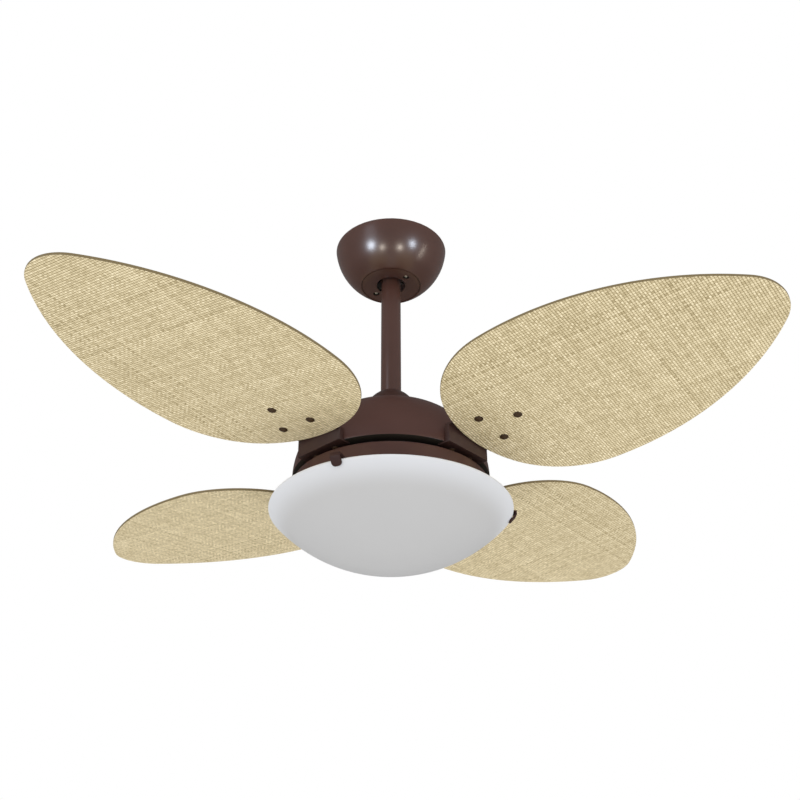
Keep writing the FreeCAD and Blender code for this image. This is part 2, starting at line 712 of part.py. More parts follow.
# Stator: slotted core on the shaft, with end windings above and below
def make_stator():
    body = new_body("stator_core")
    section = sketch_on(body, "section", "XY_Plane")
    draw_circle(section, NOUGHT, NOUGHT, stator_r)
    draw_circle(section, NOUGHT, NOUGHT, size("shaft_d") / 2 + size("fit_gap"))
    raise_sketch(section, stator_z)
    pad(body, section, size("stator_stack"), symmetric=True)
    slot = sketch_on(body, "slot", "XY_Plane")
    half = stator_r * size("slot_width_ratio") / 2
    floor = stator_r - stator_r * size("slot_depth_ratio")
    beyond = stator_r + half
    draw_outline(slot, [(floor, half), (beyond, half), (beyond, -half), (floor, -half)])
    raise_sketch(slot, stator_z)
    cut(body, slot)
    first = body.Tip
    doc.recompute()
    slots = body.newObject("PartDesign::PolarPattern", "slots")
    slots.Originals = [first]
    slots.Axis = (slot, ["N_Axis"])
    slots.Angle = 360
    slots.setExpression("Occurrences", size("slot_count").text)
    body.Tip = slots
    keep("stator_core", body)

    inner = floor.value
    height = size("winding_height").value
    outer = stator_r.value - half.value
    coil = Part.makeCylinder(outer, height).cut(Part.makeCylinder(inner, height))
    rims = [edge for edge in coil.Edges if edge.BoundBox.ZMin > height / 2]
    coil = coil.makeFillet(height * 0.45, rims)
    over = shifted(0, 0, (stator_z + size("stator_stack") / 2).value)
    under = shifted(0, 0, (stator_z - size("stator_stack") / 2).value)
    under.Rotation = Rotation(Vector(1, 0, 0), 180)
    group("stator_windings", [moved(coil, over), moved(coil, under)])


# Ball bearings: grooved inner and outer rings with the balls between them
def make_bearing(name, low):
    high = low + size("bearing_width")
    middle = low + size("bearing_width") / 2
    inner_out = journal_r + size("bearing_ring")
    outer_in = bearing_r - size("bearing_ring")
    pitch = (inner_out + outer_in) / 2
    groove = size("ball_d") / 2 + size("screw_clearance")
    reach = pitch - inner_out
    half = root(groove * groove - reach * reach)
    inner = journal_r + size("fit_gap")
    outer = bearing_r - size("fit_gap")
    body = new_body(name + "_inner_ring")
    corners = [
        (inner, low), (inner_out, low), (inner_out, middle - half),
        (inner_out, middle + half), (inner_out, high), (inner, high),
    ]
    turn(body, corners, {2: (groove, -1)})
    keep(name + "_inner_ring", body)
    body = new_body(name + "_outer_ring")
    corners = [
        (outer_in, low), (outer, low), (outer, high),
        (outer_in, high), (outer_in, middle + half), (outer_in, middle - half),
    ]
    turn(body, corners, {4: (groove, -1)})
    keep(name + "_outer_ring", body)
    ball = Part.makeSphere(size("ball_d").value / 2)
    step = 360 / count("ball_count")
    out = shifted(pitch.value, 0, middle.value)
    places = [spun(step * i).multiply(out) for i in range(count("ball_count"))]
    group(name + "_balls", [moved(ball, place) for place in places])


def arm_screw_centres():
    far = arm_screw_x
    off = size("arm_screw_apart") / 2
    centres = []
    for x, y in ((far, off), (far, -off)):
        centres += [(x, y), (-y, x), (-x, -y), (y, -x)]
    return centres


# Motor housing: the dome that turns, with a bearing seat under its crown and a lip turned in at the rim
def make_housing():
    body = new_body("motor_housing")
    wall = size("housing_wall")
    width = rim_r - crown_r
    height = size("housing_height")
    radius = (width * width + height * height) / (width * 2)
    width = width - wall
    height = height - wall
    inner = (width * width + height * height) / (width * 2)
    shaft_hole = size("shaft_hole_d") / 2
    hub = bearing_r + size("hub_wall")
    lip_r = rim_r - size("housing_lip")
    roof = housing_top - wall
    wall_foot = rim_r - wall - inner + root(inner * inner - wall * wall)
    corners = [
        (shaft_hole, roof), (shaft_hole, housing_top), (crown_r, housing_top), (rim_r, rim_z),
        (lip_r, rim_z), (lip_r, lip_top), (wall_foot, lip_top), (crown_r, roof),
        (hub, roof), (hub, upper_bearing_end), (bearing_r, upper_bearing_end), (bearing_r, roof),
    ]
    turn(body, corners, {2: (radius, -1), 6: (inner, 1)})
    drill(body, "XY_Plane", arm_screw_centres(), small_hole_r, lip_top, wall)
    keep("motor_housing", body)


def cage_screw_centres():
    off = (cage_r + cage_out_r) / 2 / math.sqrt(2)
    return [(off, off), (-off, off), (-off, -off), (off, -off)]


# Rotor bottom cover: plate on the housing's lip, lower bearing seat and a pedestal for the rotor ring
def make_bottom_cover():
    body = new_body("rotor_bottom_cover")
    shaft_hole = size("shaft_hole_d") / 2
    hub = bearing_r + size("hub_wall")
    corners = [
        (shaft_hole, lip_top), (plate_r, lip_top), (plate_r, plate_top), (cage_out_r, plate_top),
        (cage_out_r, cage_end), (cage_r, cage_end), (cage_r, plate_top), (hub, plate_top),
        (hub, lower_bearing_top), (bearing_r, lower_bearing_top),
        (bearing_r, plate_top), (shaft_hole, plate_top),
    ]
    turn(body, corners)
    drill(body, "XY_Plane", arm_screw_centres(), small_hole_r, plate_top, size("plate_gauge"))
    drill(body, "XY_Plane", cage_screw_centres(), size("cage_screw_d") / 2 + size("screw_clearance"))
    keep("rotor_bottom_cover", body)


# Rotor ring round the stator, screwed down on the bottom cover's pedestal
def make_cage():
    body = ring("rotor_ring", cage_r, cage_out_r, cage_end, cage_end + size("cage_height"))
    hole = size("cage_screw_d") / 2 + size("screw_clearance")
    bite = size("cage_screw_bite") + size("screw_clearance")
    drill(body, "XY_Plane", cage_screw_centres(), hole, cage_end, bite, True)
    keep("rotor_ring", body)
    length = cage_end + size("cage_screw_bite") - lip_top
    shape = small_headed(size("cage_screw_d") / 2, length)
    places = [shifted(x.value, y.value, lip_top.value) for x, y in cage_screw_centres()]
    group("rotor_ring_screws", [moved(shape, place) for place in places])


def blade_tilt():
    cone = Rotation(Vector(0, 1, 0), -size("blade_cone_angle").value)
    pitch = Rotation(Vector(1, 0, 0), size("blade_pitch_angle").value)
    return Placement(Vector(0, 0, blade_plane.value), cone.multiply(pitch))


def blade_azimuths():
    return [360 / count("blade_count") * i for i in range(count("blade_count"))]


def blade_screw_centres():
    off = size("inner_screws_apart") / 2
    return [(inner_screws_x, off), (inner_screws_x, -off), (outer_screw_x, NOUGHT)]


# Blade: a flat leaf of tangent arcs. Round inner end, inner corners, long flanks and a round tip
def make_blade(label, azimuth):
    body = new_body(label)
    half = size("blade_width") / 2
    start = rim_r + size("blade_gap")
    widest = start + size("blade_widest")
    tip_r = size("blade_tip_round")
    root_r = half * size("blade_root_ratio")
    tip_centre = start + size("blade_length") - tip_r
    root_centre = start + root_r
    reach = tip_centre - widest
    flank_r = (reach * reach + half * half - tip_r * tip_r) / ((half - tip_r) * 2)
    flank_y = half - flank_r
    tip_x = tip_centre + reach * tip_r / (flank_r - tip_r)
    tip_y = -flank_y * tip_r / (flank_r - tip_r)
    shoulder_x = start + size("blade_widest") * size("blade_shoulder_ratio")
    lead = shoulder_x - widest
    rise = root(flank_r * flank_r - lead * lead)
    shoulder_y = flank_y + rise
    nx = lead / flank_r
    ny = rise / flank_r
    across = shoulder_x - root_centre
    level = root_r - across * nx - shoulder_y * ny
    corner_r = (root_r * root_r - across * across - shoulder_y * shoulder_y) / (level * 2)
    stretch = root_r / (root_r - corner_r)
    root_x = root_centre + (across - corner_r * nx) * stretch
    root_y = (shoulder_y - corner_r * ny) * stretch
    upper = [(root_x, root_y), (shoulder_x, shoulder_y), (tip_x, tip_y)]
    lower = [(x, -y) for x, y in reversed(upper)]
    sweep = spun(size("blade_sweep_angle").value)
    sketch = sketch_on(body, "leaf", "XY_Plane", sweep.multiply(shifted(0, size("blade_offset").value, 0)))
    radii = [corner_r, flank_r, tip_r, flank_r, corner_r, root_r]
    draw_outline(sketch, upper + lower, {i: (radius, -1) for i, radius in enumerate(radii)})
    pad(body, sketch, size("blade_thickness"))
    drill(body, "XY_Plane", blade_screw_centres(), size("blade_screw_d") / 2 + size("screw_clearance"))
    body.Placement = spun(azimuth).multiply(blade_tilt())
    keep(label, body)


# Blade arm: foot under the housing's rim, upright flange with returned ends, and a pad on top of the blade
def make_arm(label, azimuth):
    body = new_body(label)
    gauge = size("arm_gauge")
    inside = rim_r + size("arm_gap")
    outside = inside + gauge
    half = size("arm_width") / 2
    slope = tangent(size("blade_cone_angle"))
    blade_over = blade_plane + outside * slope + size("blade_thickness")
    top = blade_over + half * tangent(-size("blade_pitch_angle")) + gauge * 2
    foot = sketch_on(body, "foot", "XZ_Plane")
    heel = outside - size("arm_lip")
    upper = [(heel, rim_z), (inside, rim_z), (inside, top)]
    lower = [(outside, top), (outside, arm_foot_z), (heel, arm_foot_z)]
    draw_outline(foot, upper + lower)
    pad(body, foot, size("arm_width"), symmetric=True)
    ends = sketch_on(body, "ends", "XY_Plane")
    raise_sketch(ends, arm_foot_z)
    clear = rim_r + size("arm_gap")
    back = root(clear * clear - (half - gauge) * (half - gauge))
    for low, high in ((half - gauge, half), (-half, -half + gauge)):
        draw_outline(ends, [(back, high), (outside, high), (outside, low), (back, low)])
    pad(body, ends, top - arm_foot_z)

    # the pad lies on the blade's upper face
    over = blade_tilt().multiply(shifted(0, 0, size("blade_thickness").value))
    plate = sketch_on(body, "plate", "XY_Plane", over)
    end = size("arm_end_round")
    far = outer_screw_x
    shoulder = inner_screws_x + end
    run = far - shoulder
    drop = half - end
    span = root(run * run + drop * drop)
    touch_x = far + end * drop / span
    touch_y = end * run / span
    near = inside + gauge / 2
    corners = [
        (near, half), (shoulder, half), (touch_x, touch_y),
        (touch_x, -touch_y), (shoulder, -half), (near, -half),
    ]
    draw_outline(plate, corners, {2: (end, -1)})
    for x, y in blade_screw_centres():
        draw_circle(plate, x, y, size("blade_screw_d") / 2 + size("screw_clearance"))
    pad(body, plate, gauge)

    # everything above the pad's upper face comes off
    over = blade_tilt().multiply(shifted(0, 0, size("blade_thickness").value + gauge.value))
    trim = sketch_on(body, "trim", "XY_Plane", over)
    beyond = touch_x + end
    draw_outline(trim, [(heel, half * 2), (beyond, half * 2), (beyond, -half * 2), (heel, -half * 2)])
    cut(body, trim, half, True)
    drill(body, "XY_Plane", arm_foot_holes(), small_hole_r, rim_z, gauge)
    body.Placement = spun(azimuth)
    keep(label, body)


def arm_foot_holes():
    off = size("arm_screw_apart") / 2
    return [(arm_screw_x, off), (arm_screw_x, -off)]


def make_blade_fasteners():
    length = plate_top - arm_foot_z + small_r
    shape = small_headed(small_r, length)
    places = [shifted(x.value, y.value, arm_foot_z.value) for x, y in arm_screw_centres()]
    group("arm_screws", [moved(shape, place) for place in places])

    shank = size("blade_screw_d").value / 2
    stack = size("blade_thickness").value + size("arm_gauge").value
    length = stack + size("blade_nut_height").value + size("blade_screw_tail").value
    screw = screw_shape(shank, size("blade_head_d").value / 2, size("blade_head").value, length)
    bore = shank + size("running_clearance").value
    nut = nut_shape(size("blade_nut_hex").value, bore, size("blade_nut_height").value)
    places = []
    for azimuth in blade_azimuths():
        for x, y in blade_screw_centres():
            places.append(spun(azimuth).multiply(blade_tilt()).multiply(shifted(x.value, y.value, 0)))
    group("blade_screws", [moved(screw, place) for place in places])
    group("blade_nuts", [moved(nut, place, shifted(0, 0, stack)) for place in places])


# Rim of the glass: the outer dome is an arc tangent to the rounded rim
def glass_dome():
    edge = size("glass_rim_round")
    reach = glass_r - edge
    depth = size("glass_depth")
    dome = (reach * reach + depth * depth - edge * edge) / ((depth - edge) * 2)
    drop = dome - depth
    return dome, reach / (dome - edge), drop / (dome - edge)


# Glass bowl: shallow dome, rounded rim, flat shoulder turned in to the mouth
def make_glass():
    body = new_body("glass_bowl")
    dome, across, down = glass_dome()
    wall = size("glass_wall")
    edge = size("glass_rim_round")
    centre = glass_r - edge
    mouth = glass_mouth_r
    inner_dome = dome - wall
    sunk = glass_bottom + dome - glass_top + wall
    inner_x = root(inner_dome * inner_dome - sunk * sunk)
    corners = [
        (NOUGHT, glass_bottom), (centre + edge * across, glass_rim_z - edge * down), (glass_r, glass_rim_z),
        (centre, glass_top), (mouth, glass_top), (mouth, glass_top - wall), (inner_x, glass_top - wall),
        (NOUGHT, glass_bottom + wall),
    ]
    turn(body, corners, {0: (dome, 1), 1: (edge, 1), 2: (edge, 1), 6: (inner_dome, -1)})
    keep("glass_bowl", body)


def claw_azimuths():
    first = size("claw_azimuth_angle").value
    step = 360 / count("claw_count")
    return [first + step * i for i in range(count("claw_count"))]


def claw_strip_top():
    return glass_top + size("claw_lift") + size("claw_gauge")


def lamp_turn():
    # the lamps point between the claws
    return spun(size("claw_azimuth_angle").value + 90)


# Light pan: a shallow dish upside down, with notches in its wall for the claws
def make_pan():
    body = new_body("pan_dish")
    edge = size("pan_edge")
    hole = size("shaft_thread_d") / 2 + size("screw_clearance")
    corners = [
        (hole, pan_top), (pan_r - edge, pan_top), (pan_r, pan_top - edge), (pan_r, pan_end),
        (pan_inner_r, pan_end), (pan_inner_r, pan_under), (hole, pan_under),
    ]
    turn(body, corners, {1: (edge, -1)})
    tools = []
    gap = size("notch_gap")
    for x, y in both_sides(lamp_screw_x):
        hole = doc.addObject("Part::Cylinder", "lamp_screw_hole")
        hole.setExpression("Radius", small_hole_r.text)
        hole.setExpression("Height", (size("pan_wall") * 3).text)
        hole.Placement = lamp_turn().multiply(shifted(x.value, 0, (pan_under - size("pan_wall")).value))
        tools.append(hole)
    for i, azimuth in enumerate(claw_azimuths()):
        extra = size("notch_extra") if i == 0 else NOUGHT
        left = -size("claw_width") / 2 - gap
        width = size("claw_width") + gap * 2 + extra
        notch = doc.addObject("Part::Box", "notch")
        notch.setExpression("Length", (size("pan_wall") * 4).text)
        notch.setExpression("Width", width.text)
        notch.setExpression("Height", (claw_strip_top() - pan_end + gap * 2).text)
        corner = Vector(pan_inner_r.value - size("pan_wall").value * 2, left.value, (pan_end - gap).value)
        notch.Placement = spun(azimuth).multiply(Placement(corner, Rotation()))
        hole = doc.addObject("Part::Cylinder", "rivet_hole")
        hole.setExpression("Radius", (size("rivet_d") / 2 + size("screw_clearance")).text)
        hole.setExpression("Height", (size("pan_wall") * 3).text)
        low = (pan_under - size("pan_wall")).value
        hole.Placement = spun(azimuth).multiply(shifted(claw_rivet_at().value, 0, low))
        tools += [notch, hole]
    cutters = doc.addObject("Part::Compound", "pan_cutters")
    cutters.Links = tools
    dish = doc.addObject("Part::Cut", "light_pan")
    dish.Base = body
    dish.Tool = cutters
    keep("light_pan", dish)

    nut = new_body("pan_nut")
    shape = sketch_on(nut, "hexagon", "XY_Plane")
    draw_hexagon(shape, size("pan_nut_hex"))
    draw_circle(shape, NOUGHT, NOUGHT, size("shaft_thread_d") / 2 + size("running_clearance"))
    raise_sketch(shape, pan_under)
    pad(nut, shape, size("pan_nut_height"), downward=True)
    keep("pan_nut", nut)


def claw_rivet_at():
    return claw_web_r - size("claw_foot") / 2


# Claw: foot under the pan, upright web, strip out over the glass and a tongue hooked under its rim
def make_claw(label, azimuth, sliding):
    body = new_body(label)
    gauge = size("claw_gauge")
    gap = size("claw_gap")
    dome, across, down = glass_dome()
    edge = size("glass_rim_round")
    web = claw_web_r
    heel = web - size("claw_foot")
    foot_top = pan_under - size("claw_slack")
    strip_under = glass_top + size("claw_lift")
    inside = glass_r + size("claw_side_gap")
    outside = inside + gauge
    touch_x = glass_r - edge + (edge + gap) * across
    touch_z = glass_rim_z - (edge + gap) * down
    # the tongue runs inward and down along the dome: its direction is (-down, -across)
    bend_in = touch_z + (inside - touch_x) * across / down
    bend_out = touch_z - gauge * down + (outside - touch_x - gauge * across) * across / down
    end_x = touch_x - size("claw_tongue") * down
    end_z = touch_z - size("claw_tongue") * across
    corners = [
        (heel, foot_top), (web + gauge, foot_top), (web + gauge, strip_under + gauge),
        (outside, strip_under + gauge), (outside, bend_out), (end_x + gauge * across, end_z - gauge * down),
        (end_x, end_z), (inside, bend_in), (inside, strip_under), (web, strip_under),
        (web, foot_top - gauge), (heel, foot_top - gauge),
    ]
    sketch = sketch_on(body, "side", "XZ_Plane")
    draw_outline(sketch, corners)
    strip = pad(body, sketch, size("claw_width"), symmetric=True)
    doc.recompute()
    low = (end_z - gauge * down).value
    names = []
    for i, line in enumerate(strip.Shape.Edges, start=1):
        box = line.BoundBox
        if box.ZMin < low + 0.01 and box.YLength < 0.01 and abs(line.Length - gauge.value) < 0.01:
            names.append("Edge%d" % i)
    tip = body.newObject("PartDesign::Fillet", "tip")
    tip.Base = (strip, names)
    tip.setExpression("Radius", size("claw_tip_round").text)
    body.Tip = tip
    hole_r = size("rivet_d") / 2 + size("screw_clearance")
    if sliding:
        slot = sketch_on(body, "slot", "XY_Plane")
        raise_sketch(slot, foot_top)
        outer = claw_rivet_at()
        inner = outer - size("claw_travel")
        draw_outline(slot, [(inner, hole_r), (outer, hole_r), (outer, -hole_r), (inner, -hole_r)])
        cut(body, slot, gauge)
        drill(body, "XY_Plane", [(inner, NOUGHT), (outer, NOUGHT)], hole_r, foot_top, gauge)
    else:
        drill(body, "XY_Plane", [(claw_rivet_at(), NOUGHT)], hole_r, foot_top, gauge)
    body.Placement = spun(azimuth)
    keep(label, body)


def make_claw_fasteners():
    shank = size("rivet_d").value / 2
    head_r = size("rivet_head_d").value / 2
    head = size("rivet_head").value
    low = (pan_under - size("claw_slack") - size("claw_gauge") - size("claw_slack")).value
    length = pan_top.value - low
    body = Part.makeCylinder(shank, length)
    body = body.fuse(Part.makeCylinder(head_r, head, Vector(0, 0, -head)))
    body = body.fuse(Part.makeCylinder(head_r, head, Vector(0, 0, length)))
    at = claw_rivet_at().value
    group("claw_rivets", [moved(body, spun(azimuth), shifted(at, 0, low)) for azimuth in claw_azimuths()])

    # spring of the first claw, pressed between its web and the pan's wall
    wire = size("spring_wire").value / 2
    coil_r = size("spring_d").value / 2 - wire
    start = claw_web_r.value + size("claw_gauge").value
    wall = math.sqrt(pan_inner_r.value ** 2 - (coil_r + wire) ** 2)
    length = wall - start - wire * 2
    helix = Part.makeHelix(length / count("spring_turns"), length, coil_r)
    section = Part.Wire(Part.makeCircle(wire, Vector(coil_r, 0, 0), Vector(0, 1, 0)))
    coil = Part.Wire(helix.Edges).makePipeShell([section], True, True)
    lie = shifted(start + wire, 0, (pan_under - size("spring_drop")).value)
    lie.Rotation = Rotation(Vector(0, 1, 0), 90)
    spring = doc.addObject("Part::Feature", "claw_spring")
    spring.Shape = coil
    spring.Placement = spun(size("claw_azimuth_angle").value).multiply(lie)
    keep("claw_spring", spring)


# Lamp bracket under the pan, with a lamp holder and a bulb on each side
def make_lamps():
    body = new_body("lamp_bracket")
    gauge = size("lamp_strip_gauge")
    outer = lamp_seat_x
    inner = outer - gauge
    tab_end = pan_under - size("lamp_tab")
    right = [(outer, pan_under), (outer, tab_end), (inner, tab_end), (inner, pan_under - gauge)]
    left = [(-x, y) for x, y in reversed(right)]
    side = sketch_on(body, "side", "XZ_Plane")
    draw_outline(side, right + left)
    pad(body, side, size("lamp_strip_width"), symmetric=True)
    drill(body, "XY_Plane", [(NOUGHT, NOUGHT)], size("nut_window_d") / 2, pan_under, gauge)
    drill(body, "XY_Plane", both_sides(lamp_screw_x), small_hole_r, pan_under, gauge)
    drill(body, "YZ_Plane", [(NOUGHT, lamp_z)], size("lamp_wire_d") / 2)
    body.Placement = lamp_turn()
    keep("lamp_bracket", body)
    length = gauge + size("pan_wall") + small_r
    shape = small_headed(small_r, length)
    seat = (pan_under - gauge).value
    centres = both_sides(lamp_screw_x)
    group("lamp_bracket_screws", [moved(shape, lamp_turn(), shifted(x.value, 0, seat)) for x, y in centres])

    for number, turned_to in ((1, 0), (2, 180)):
        face = shifted(outer.value, 0, lamp_z.value)
        lie = Placement(Vector(0, 0, 0), Rotation(Vector(0, 1, 0), 90))
        place = lamp_turn().multiply(spun(turned_to)).multiply(face).multiply(lie)
        make_holder("lamp_holder_%d" % number, place)
        make_bulb("bulb_%d" % number, place)


def make_holder(label, place):
    body = new_body(label)
    back = size("holder_back_d") / 2
    skirt = size("holder_d") / 2
    step = size("holder_back")
    slope = skirt - back
    bore = size("socket_d") / 2
    corners = [
        (NOUGHT, NOUGHT), (back, NOUGHT), (back, step), (skirt, step + slope), (skirt, holder_length),
        (bore, holder_length), (bore, holder_floor), (NOUGHT, holder_floor),
    ]
    turn(body, corners)
    body.Placement = place
    keep(label, body)


def make_bulb(label, place):
    body = new_body(label)
    cap = size("cap_d") / 2
    globe = lamp_reach * size("bulb_ratio") / 2
    nose = size("cap_nose")
    middle = lamp_reach - globe
    neck = middle - root(globe * globe - cap * cap)
    corners = [
        (NOUGHT, holder_floor), (nose, holder_floor), (cap, holder_floor + nose),
        (cap, neck), (globe, middle), (NOUGHT, lamp_reach),
    ]
    turn(body, corners, {3: (globe, 1), 4: (globe, 1)})
    body.Placement = place
    keep(label, body)


# Run capacitor: a moulded box on the underside of the pan
def make_capacitor():
    body = new_body("capacitor")
    base = sketch_on(body, "base", "XY_Plane")
    x = size("capacitor_length") / 2
    near = size("capacitor_at") - size("capacitor_width") / 2
    far = size("capacitor_at") + size("capacitor_width") / 2
    draw_outline(base, [(-x, far), (x, far), (x, near), (-x, near)])
    raise_sketch(base, pan_under)
    box = pad(body, base, size("capacitor_height"), downward=True)
    doc.recompute()
    upright = ["Edge%d" % i for i, edge in enumerate(box.Shape.Edges, start=1) if edge.BoundBox.ZLength > 1]
    corner = body.newObject("PartDesign::Fillet", "corners")
    corner.Base = (box, upright)
    corner.setExpression("Radius", (size("capacitor_height") / 8).text)
    body.Tip = corner
    keep("capacitor", body)


make_bracket()
make_hanger()
make_terminal_block()
make_canopy()
make_rod()
make_coupling()
make_cup()
make_shaft()
make_stator()
make_bearing("upper_bearing", upper_bearing_end)
make_bearing("lower_bearing", plate_top)
make_housing()
make_bottom_cover()
make_cage()
for number, azimuth in enumerate(blade_azimuths(), start=1):
    make_arm("blade_arm_%d" % number, azimuth)
    make_blade("blade_%d" % number, azimuth)
make_blade_fasteners()
make_pan()
make_glass()
for number, azimuth in enumerate(claw_azimuths(), start=1):
    make_claw("claw_%d" % number, azimuth, number == 1)
make_claw_fasteners()
make_lamps()
make_capacitor()
doc.recompute()

faults = [item for item in doc.Objects if "Invalid" in item.State or "Error" in item.State]
if faults:
    raise RuntimeError("did not build: %s" % [(item.Name, item.getStatusString()) for item in faults])
for label, piece in nodes:
    if piece.Shape.isNull() or not piece.Shape.isValid() or not piece.Shape.Solids:
        raise RuntimeError("%s has no valid solid" % label)

os.makedirs("parts", exist_ok=True)
for label, piece in nodes:
    piece.Shape.exportStep("parts/%s.step" % label)
    box = piece.Shape.BoundBox
    solids = len(piece.Shape.Solids)
    print("%-26s %2d solid(s)  z %7.1f to %7.1f" % (label, solids, box.ZMin, box.ZMax))
print(len(nodes), "nodes")
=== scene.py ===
import bpy
import bmesh
import json
import math
import numpy as np
from mathutils import Matrix, Vector


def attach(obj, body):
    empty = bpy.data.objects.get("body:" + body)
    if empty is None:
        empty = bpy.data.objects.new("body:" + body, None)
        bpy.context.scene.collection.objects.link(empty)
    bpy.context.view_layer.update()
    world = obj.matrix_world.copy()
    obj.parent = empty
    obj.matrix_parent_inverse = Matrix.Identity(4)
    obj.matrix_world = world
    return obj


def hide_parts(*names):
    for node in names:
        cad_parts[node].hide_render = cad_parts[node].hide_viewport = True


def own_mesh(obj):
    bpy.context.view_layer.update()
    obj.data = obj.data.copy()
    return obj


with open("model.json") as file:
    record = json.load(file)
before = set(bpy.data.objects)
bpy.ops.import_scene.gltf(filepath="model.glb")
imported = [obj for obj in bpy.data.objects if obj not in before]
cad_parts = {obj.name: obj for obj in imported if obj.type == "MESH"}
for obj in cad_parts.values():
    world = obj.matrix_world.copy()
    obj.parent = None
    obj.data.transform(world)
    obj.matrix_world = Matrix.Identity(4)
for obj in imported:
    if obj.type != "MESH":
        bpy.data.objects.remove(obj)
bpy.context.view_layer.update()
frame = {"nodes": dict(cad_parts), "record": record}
scene = bpy.context.scene
scene.view_settings.view_transform = "Standard"
print("frame loaded:", len(frame["nodes"]), "nodes")


# small helpers for shader nodes
def newMaterial(name):
    mat = bpy.data.materials.new(name)
    mat.use_nodes = True
    return mat, mat.node_tree, mat.node_tree.nodes["Principled BSDF"]


def addNode(tree, kind, **values):
    node = tree.nodes.new("ShaderNode" + kind)
    for key, value in values.items():
        if hasattr(node, key):
            setattr(node, key, value)
        else:
            node.inputs[key.replace("_", " ")].default_value = value
    return node


def setInputs(shader, **values):
    for key, value in values.items():
        shader.inputs[key.replace("_", " ")].default_value = value


def wire(tree, source, target):
    tree.links.new(source, target)


def feed(tree, socket, value):  # a number stays on the socket, an output is linked to it
    if isinstance(value, (int, float)):
        socket.default_value = value
    else:
        wire(tree, value, socket)


def mathNode(tree, operation, *values):
    node = addNode(tree, "Math", operation=operation)
    for socket, value in zip(node.inputs, values):
        feed(tree, socket, value)
    return node.outputs[0]


def mixNode(tree, factor, first, second):  # the first at 0, the second at 1
    node = addNode(tree, "Mix")
    wire(tree, factor, node.inputs[0])
    feed(tree, node.inputs[2], first)
    feed(tree, node.inputs[3], second)
    return node.outputs[0]


def mixColour(tree, factor, first, colour):
    node = addNode(tree, "Mix", data_type="RGBA")
    wire(tree, factor, node.inputs[0])
    wire(tree, first, node.inputs[6])
    node.inputs[7].default_value = colour + (1,)
    return node.outputs[2]


def splitAxes(tree, vector):
    node = addNode(tree, "SeparateXYZ")
    wire(tree, vector, node.inputs[0])
    return node.outputs


def mapRange(tree, value, **values):
    node = addNode(tree, "MapRange", **values)
    wire(tree, value, node.inputs["Value"])
    return node.outputs[0]


def noiseFrom(tree, vector, scale, detail, **values):
    node = addNode(tree, "TexNoise", Scale=scale, Detail=detail, **values)
    wire(tree, vector, node.inputs["Vector"])
    return node.outputs["Fac"]


def scaled(colour, factor):
    return tuple(min(1, c * factor) for c in colour)


def twoTone(tree, noise, dark, pale, spread):  # wavers between two tones about the noise's middle
    node = addNode(tree, "ValToRGB")
    ends = ((0.5 - spread, dark), (0.5 + spread, pale))
    for element, (place, colour) in zip(node.color_ramp.elements, ends):
        element.position = place
        element.color = colour + (1,)
    wire(tree, noise, node.inputs[0])
    return node.outputs[0]


def unevenRoughness(tree, shader, noise, roughness, smoother, rougher):
    least, most = 0.3, 0.7  # where nearly all of the noise lies
    low, high = roughness - smoother, roughness + rougher
    rough = mapRange(tree, noise, From_Min=least, From_Max=most, To_Min=low, To_Max=high)
    wire(tree, rough, shader.inputs["Roughness"])


def addBump(tree, shader, height, strength, depth):
    bump = addNode(tree, "Bump", Strength=strength, Distance=depth)
    wire(tree, height, bump.inputs["Height"])
    wire(tree, bump.outputs[0], shader.inputs["Normal"])


def clearAway(tree, shader, amount):  # lets the surface fade out by an amount from 0 to 1
    clear = addNode(tree, "BsdfTransparent")
    mix = addNode(tree, "MixShader")
    wire(tree, amount, mix.inputs[0])
    wire(tree, shader.outputs[0], mix.inputs[1])
    wire(tree, clear.outputs[0], mix.inputs[2])
    wire(tree, mix.outputs[0], tree.nodes["Material Output"].inputs[0])


def linear(r, g, b):  # colour written as 0 to 255 on screen
    return tuple((c / 255 / 12.92) if c <= 10.3 else ((c / 255 + 0.055) / 1.055) ** 2.4 for c in (r, g, b))


# sprayed paint: a clear coat over a colour that wavers a little, with fine orange peel
paint = {"cloud": 14.0, "fleck": 0.06, "spread": 0.2, "peelScale": 900.0, "peelDepth": 0.0005,
         "smoother": 0.04, "rougher": 0.05, "specular": 0.2, "coatIor": 1.6, "coatRoughness": 0.25,
         "lookingDown": (-0.95, -0.6), "thinning": 4.0}


def paintMaterial(name, colour, roughness, peel=0.02, coat=0.0, under=1.0):
    mat, tree, shader = newMaterial(name)
    coords = addNode(tree, "TexCoord")
    cloud = noiseFrom(tree, coords.outputs["Object"], paint["cloud"], detail=4.0)
    dark, pale = scaled(colour, 1 - paint["fleck"]), scaled(colour, 1 + paint["fleck"])
    tone = twoTone(tree, cloud, dark, pale, paint["spread"])
    setInputs(shader, Coat_Weight=coat, Coat_IOR=paint["coatIor"], Coat_Roughness=paint["coatRoughness"],
              Specular_IOR_Level=paint["specular"])
    if under < 1:  # painted shade: faces that look down are darker in colour, and less of the coat reaches them
        facing = splitAxes(tree, coords.outputs["Normal"])["Z"]
        low, high = paint["lookingDown"]
        shade = mapRange(tree, facing, From_Min=low, From_Max=high, To_Min=under, To_Max=1.0)
        paintedShadeTone = addNode(tree, "VectorMath", operation="SCALE")
        wire(tree, tone, paintedShadeTone.inputs[0])
        wire(tree, shade, paintedShadeTone.inputs["Scale"])
        tone = paintedShadeTone.outputs[0]
        thin = mathNode(tree, "POWER", shade, paint["thinning"])
        wire(tree, mathNode(tree, "MULTIPLY", thin, coat), shader.inputs["Coat Weight"])
    wire(tree, tone, shader.inputs["Base Color"])
    unevenRoughness(tree, shader, cloud, roughness, paint["smoother"], paint["rougher"])
    grain = noiseFrom(tree, coords.outputs["Object"], paint["peelScale"], detail=2.0)
    addBump(tree, shader, grain, peel, paint["peelDepth"])
    return mat


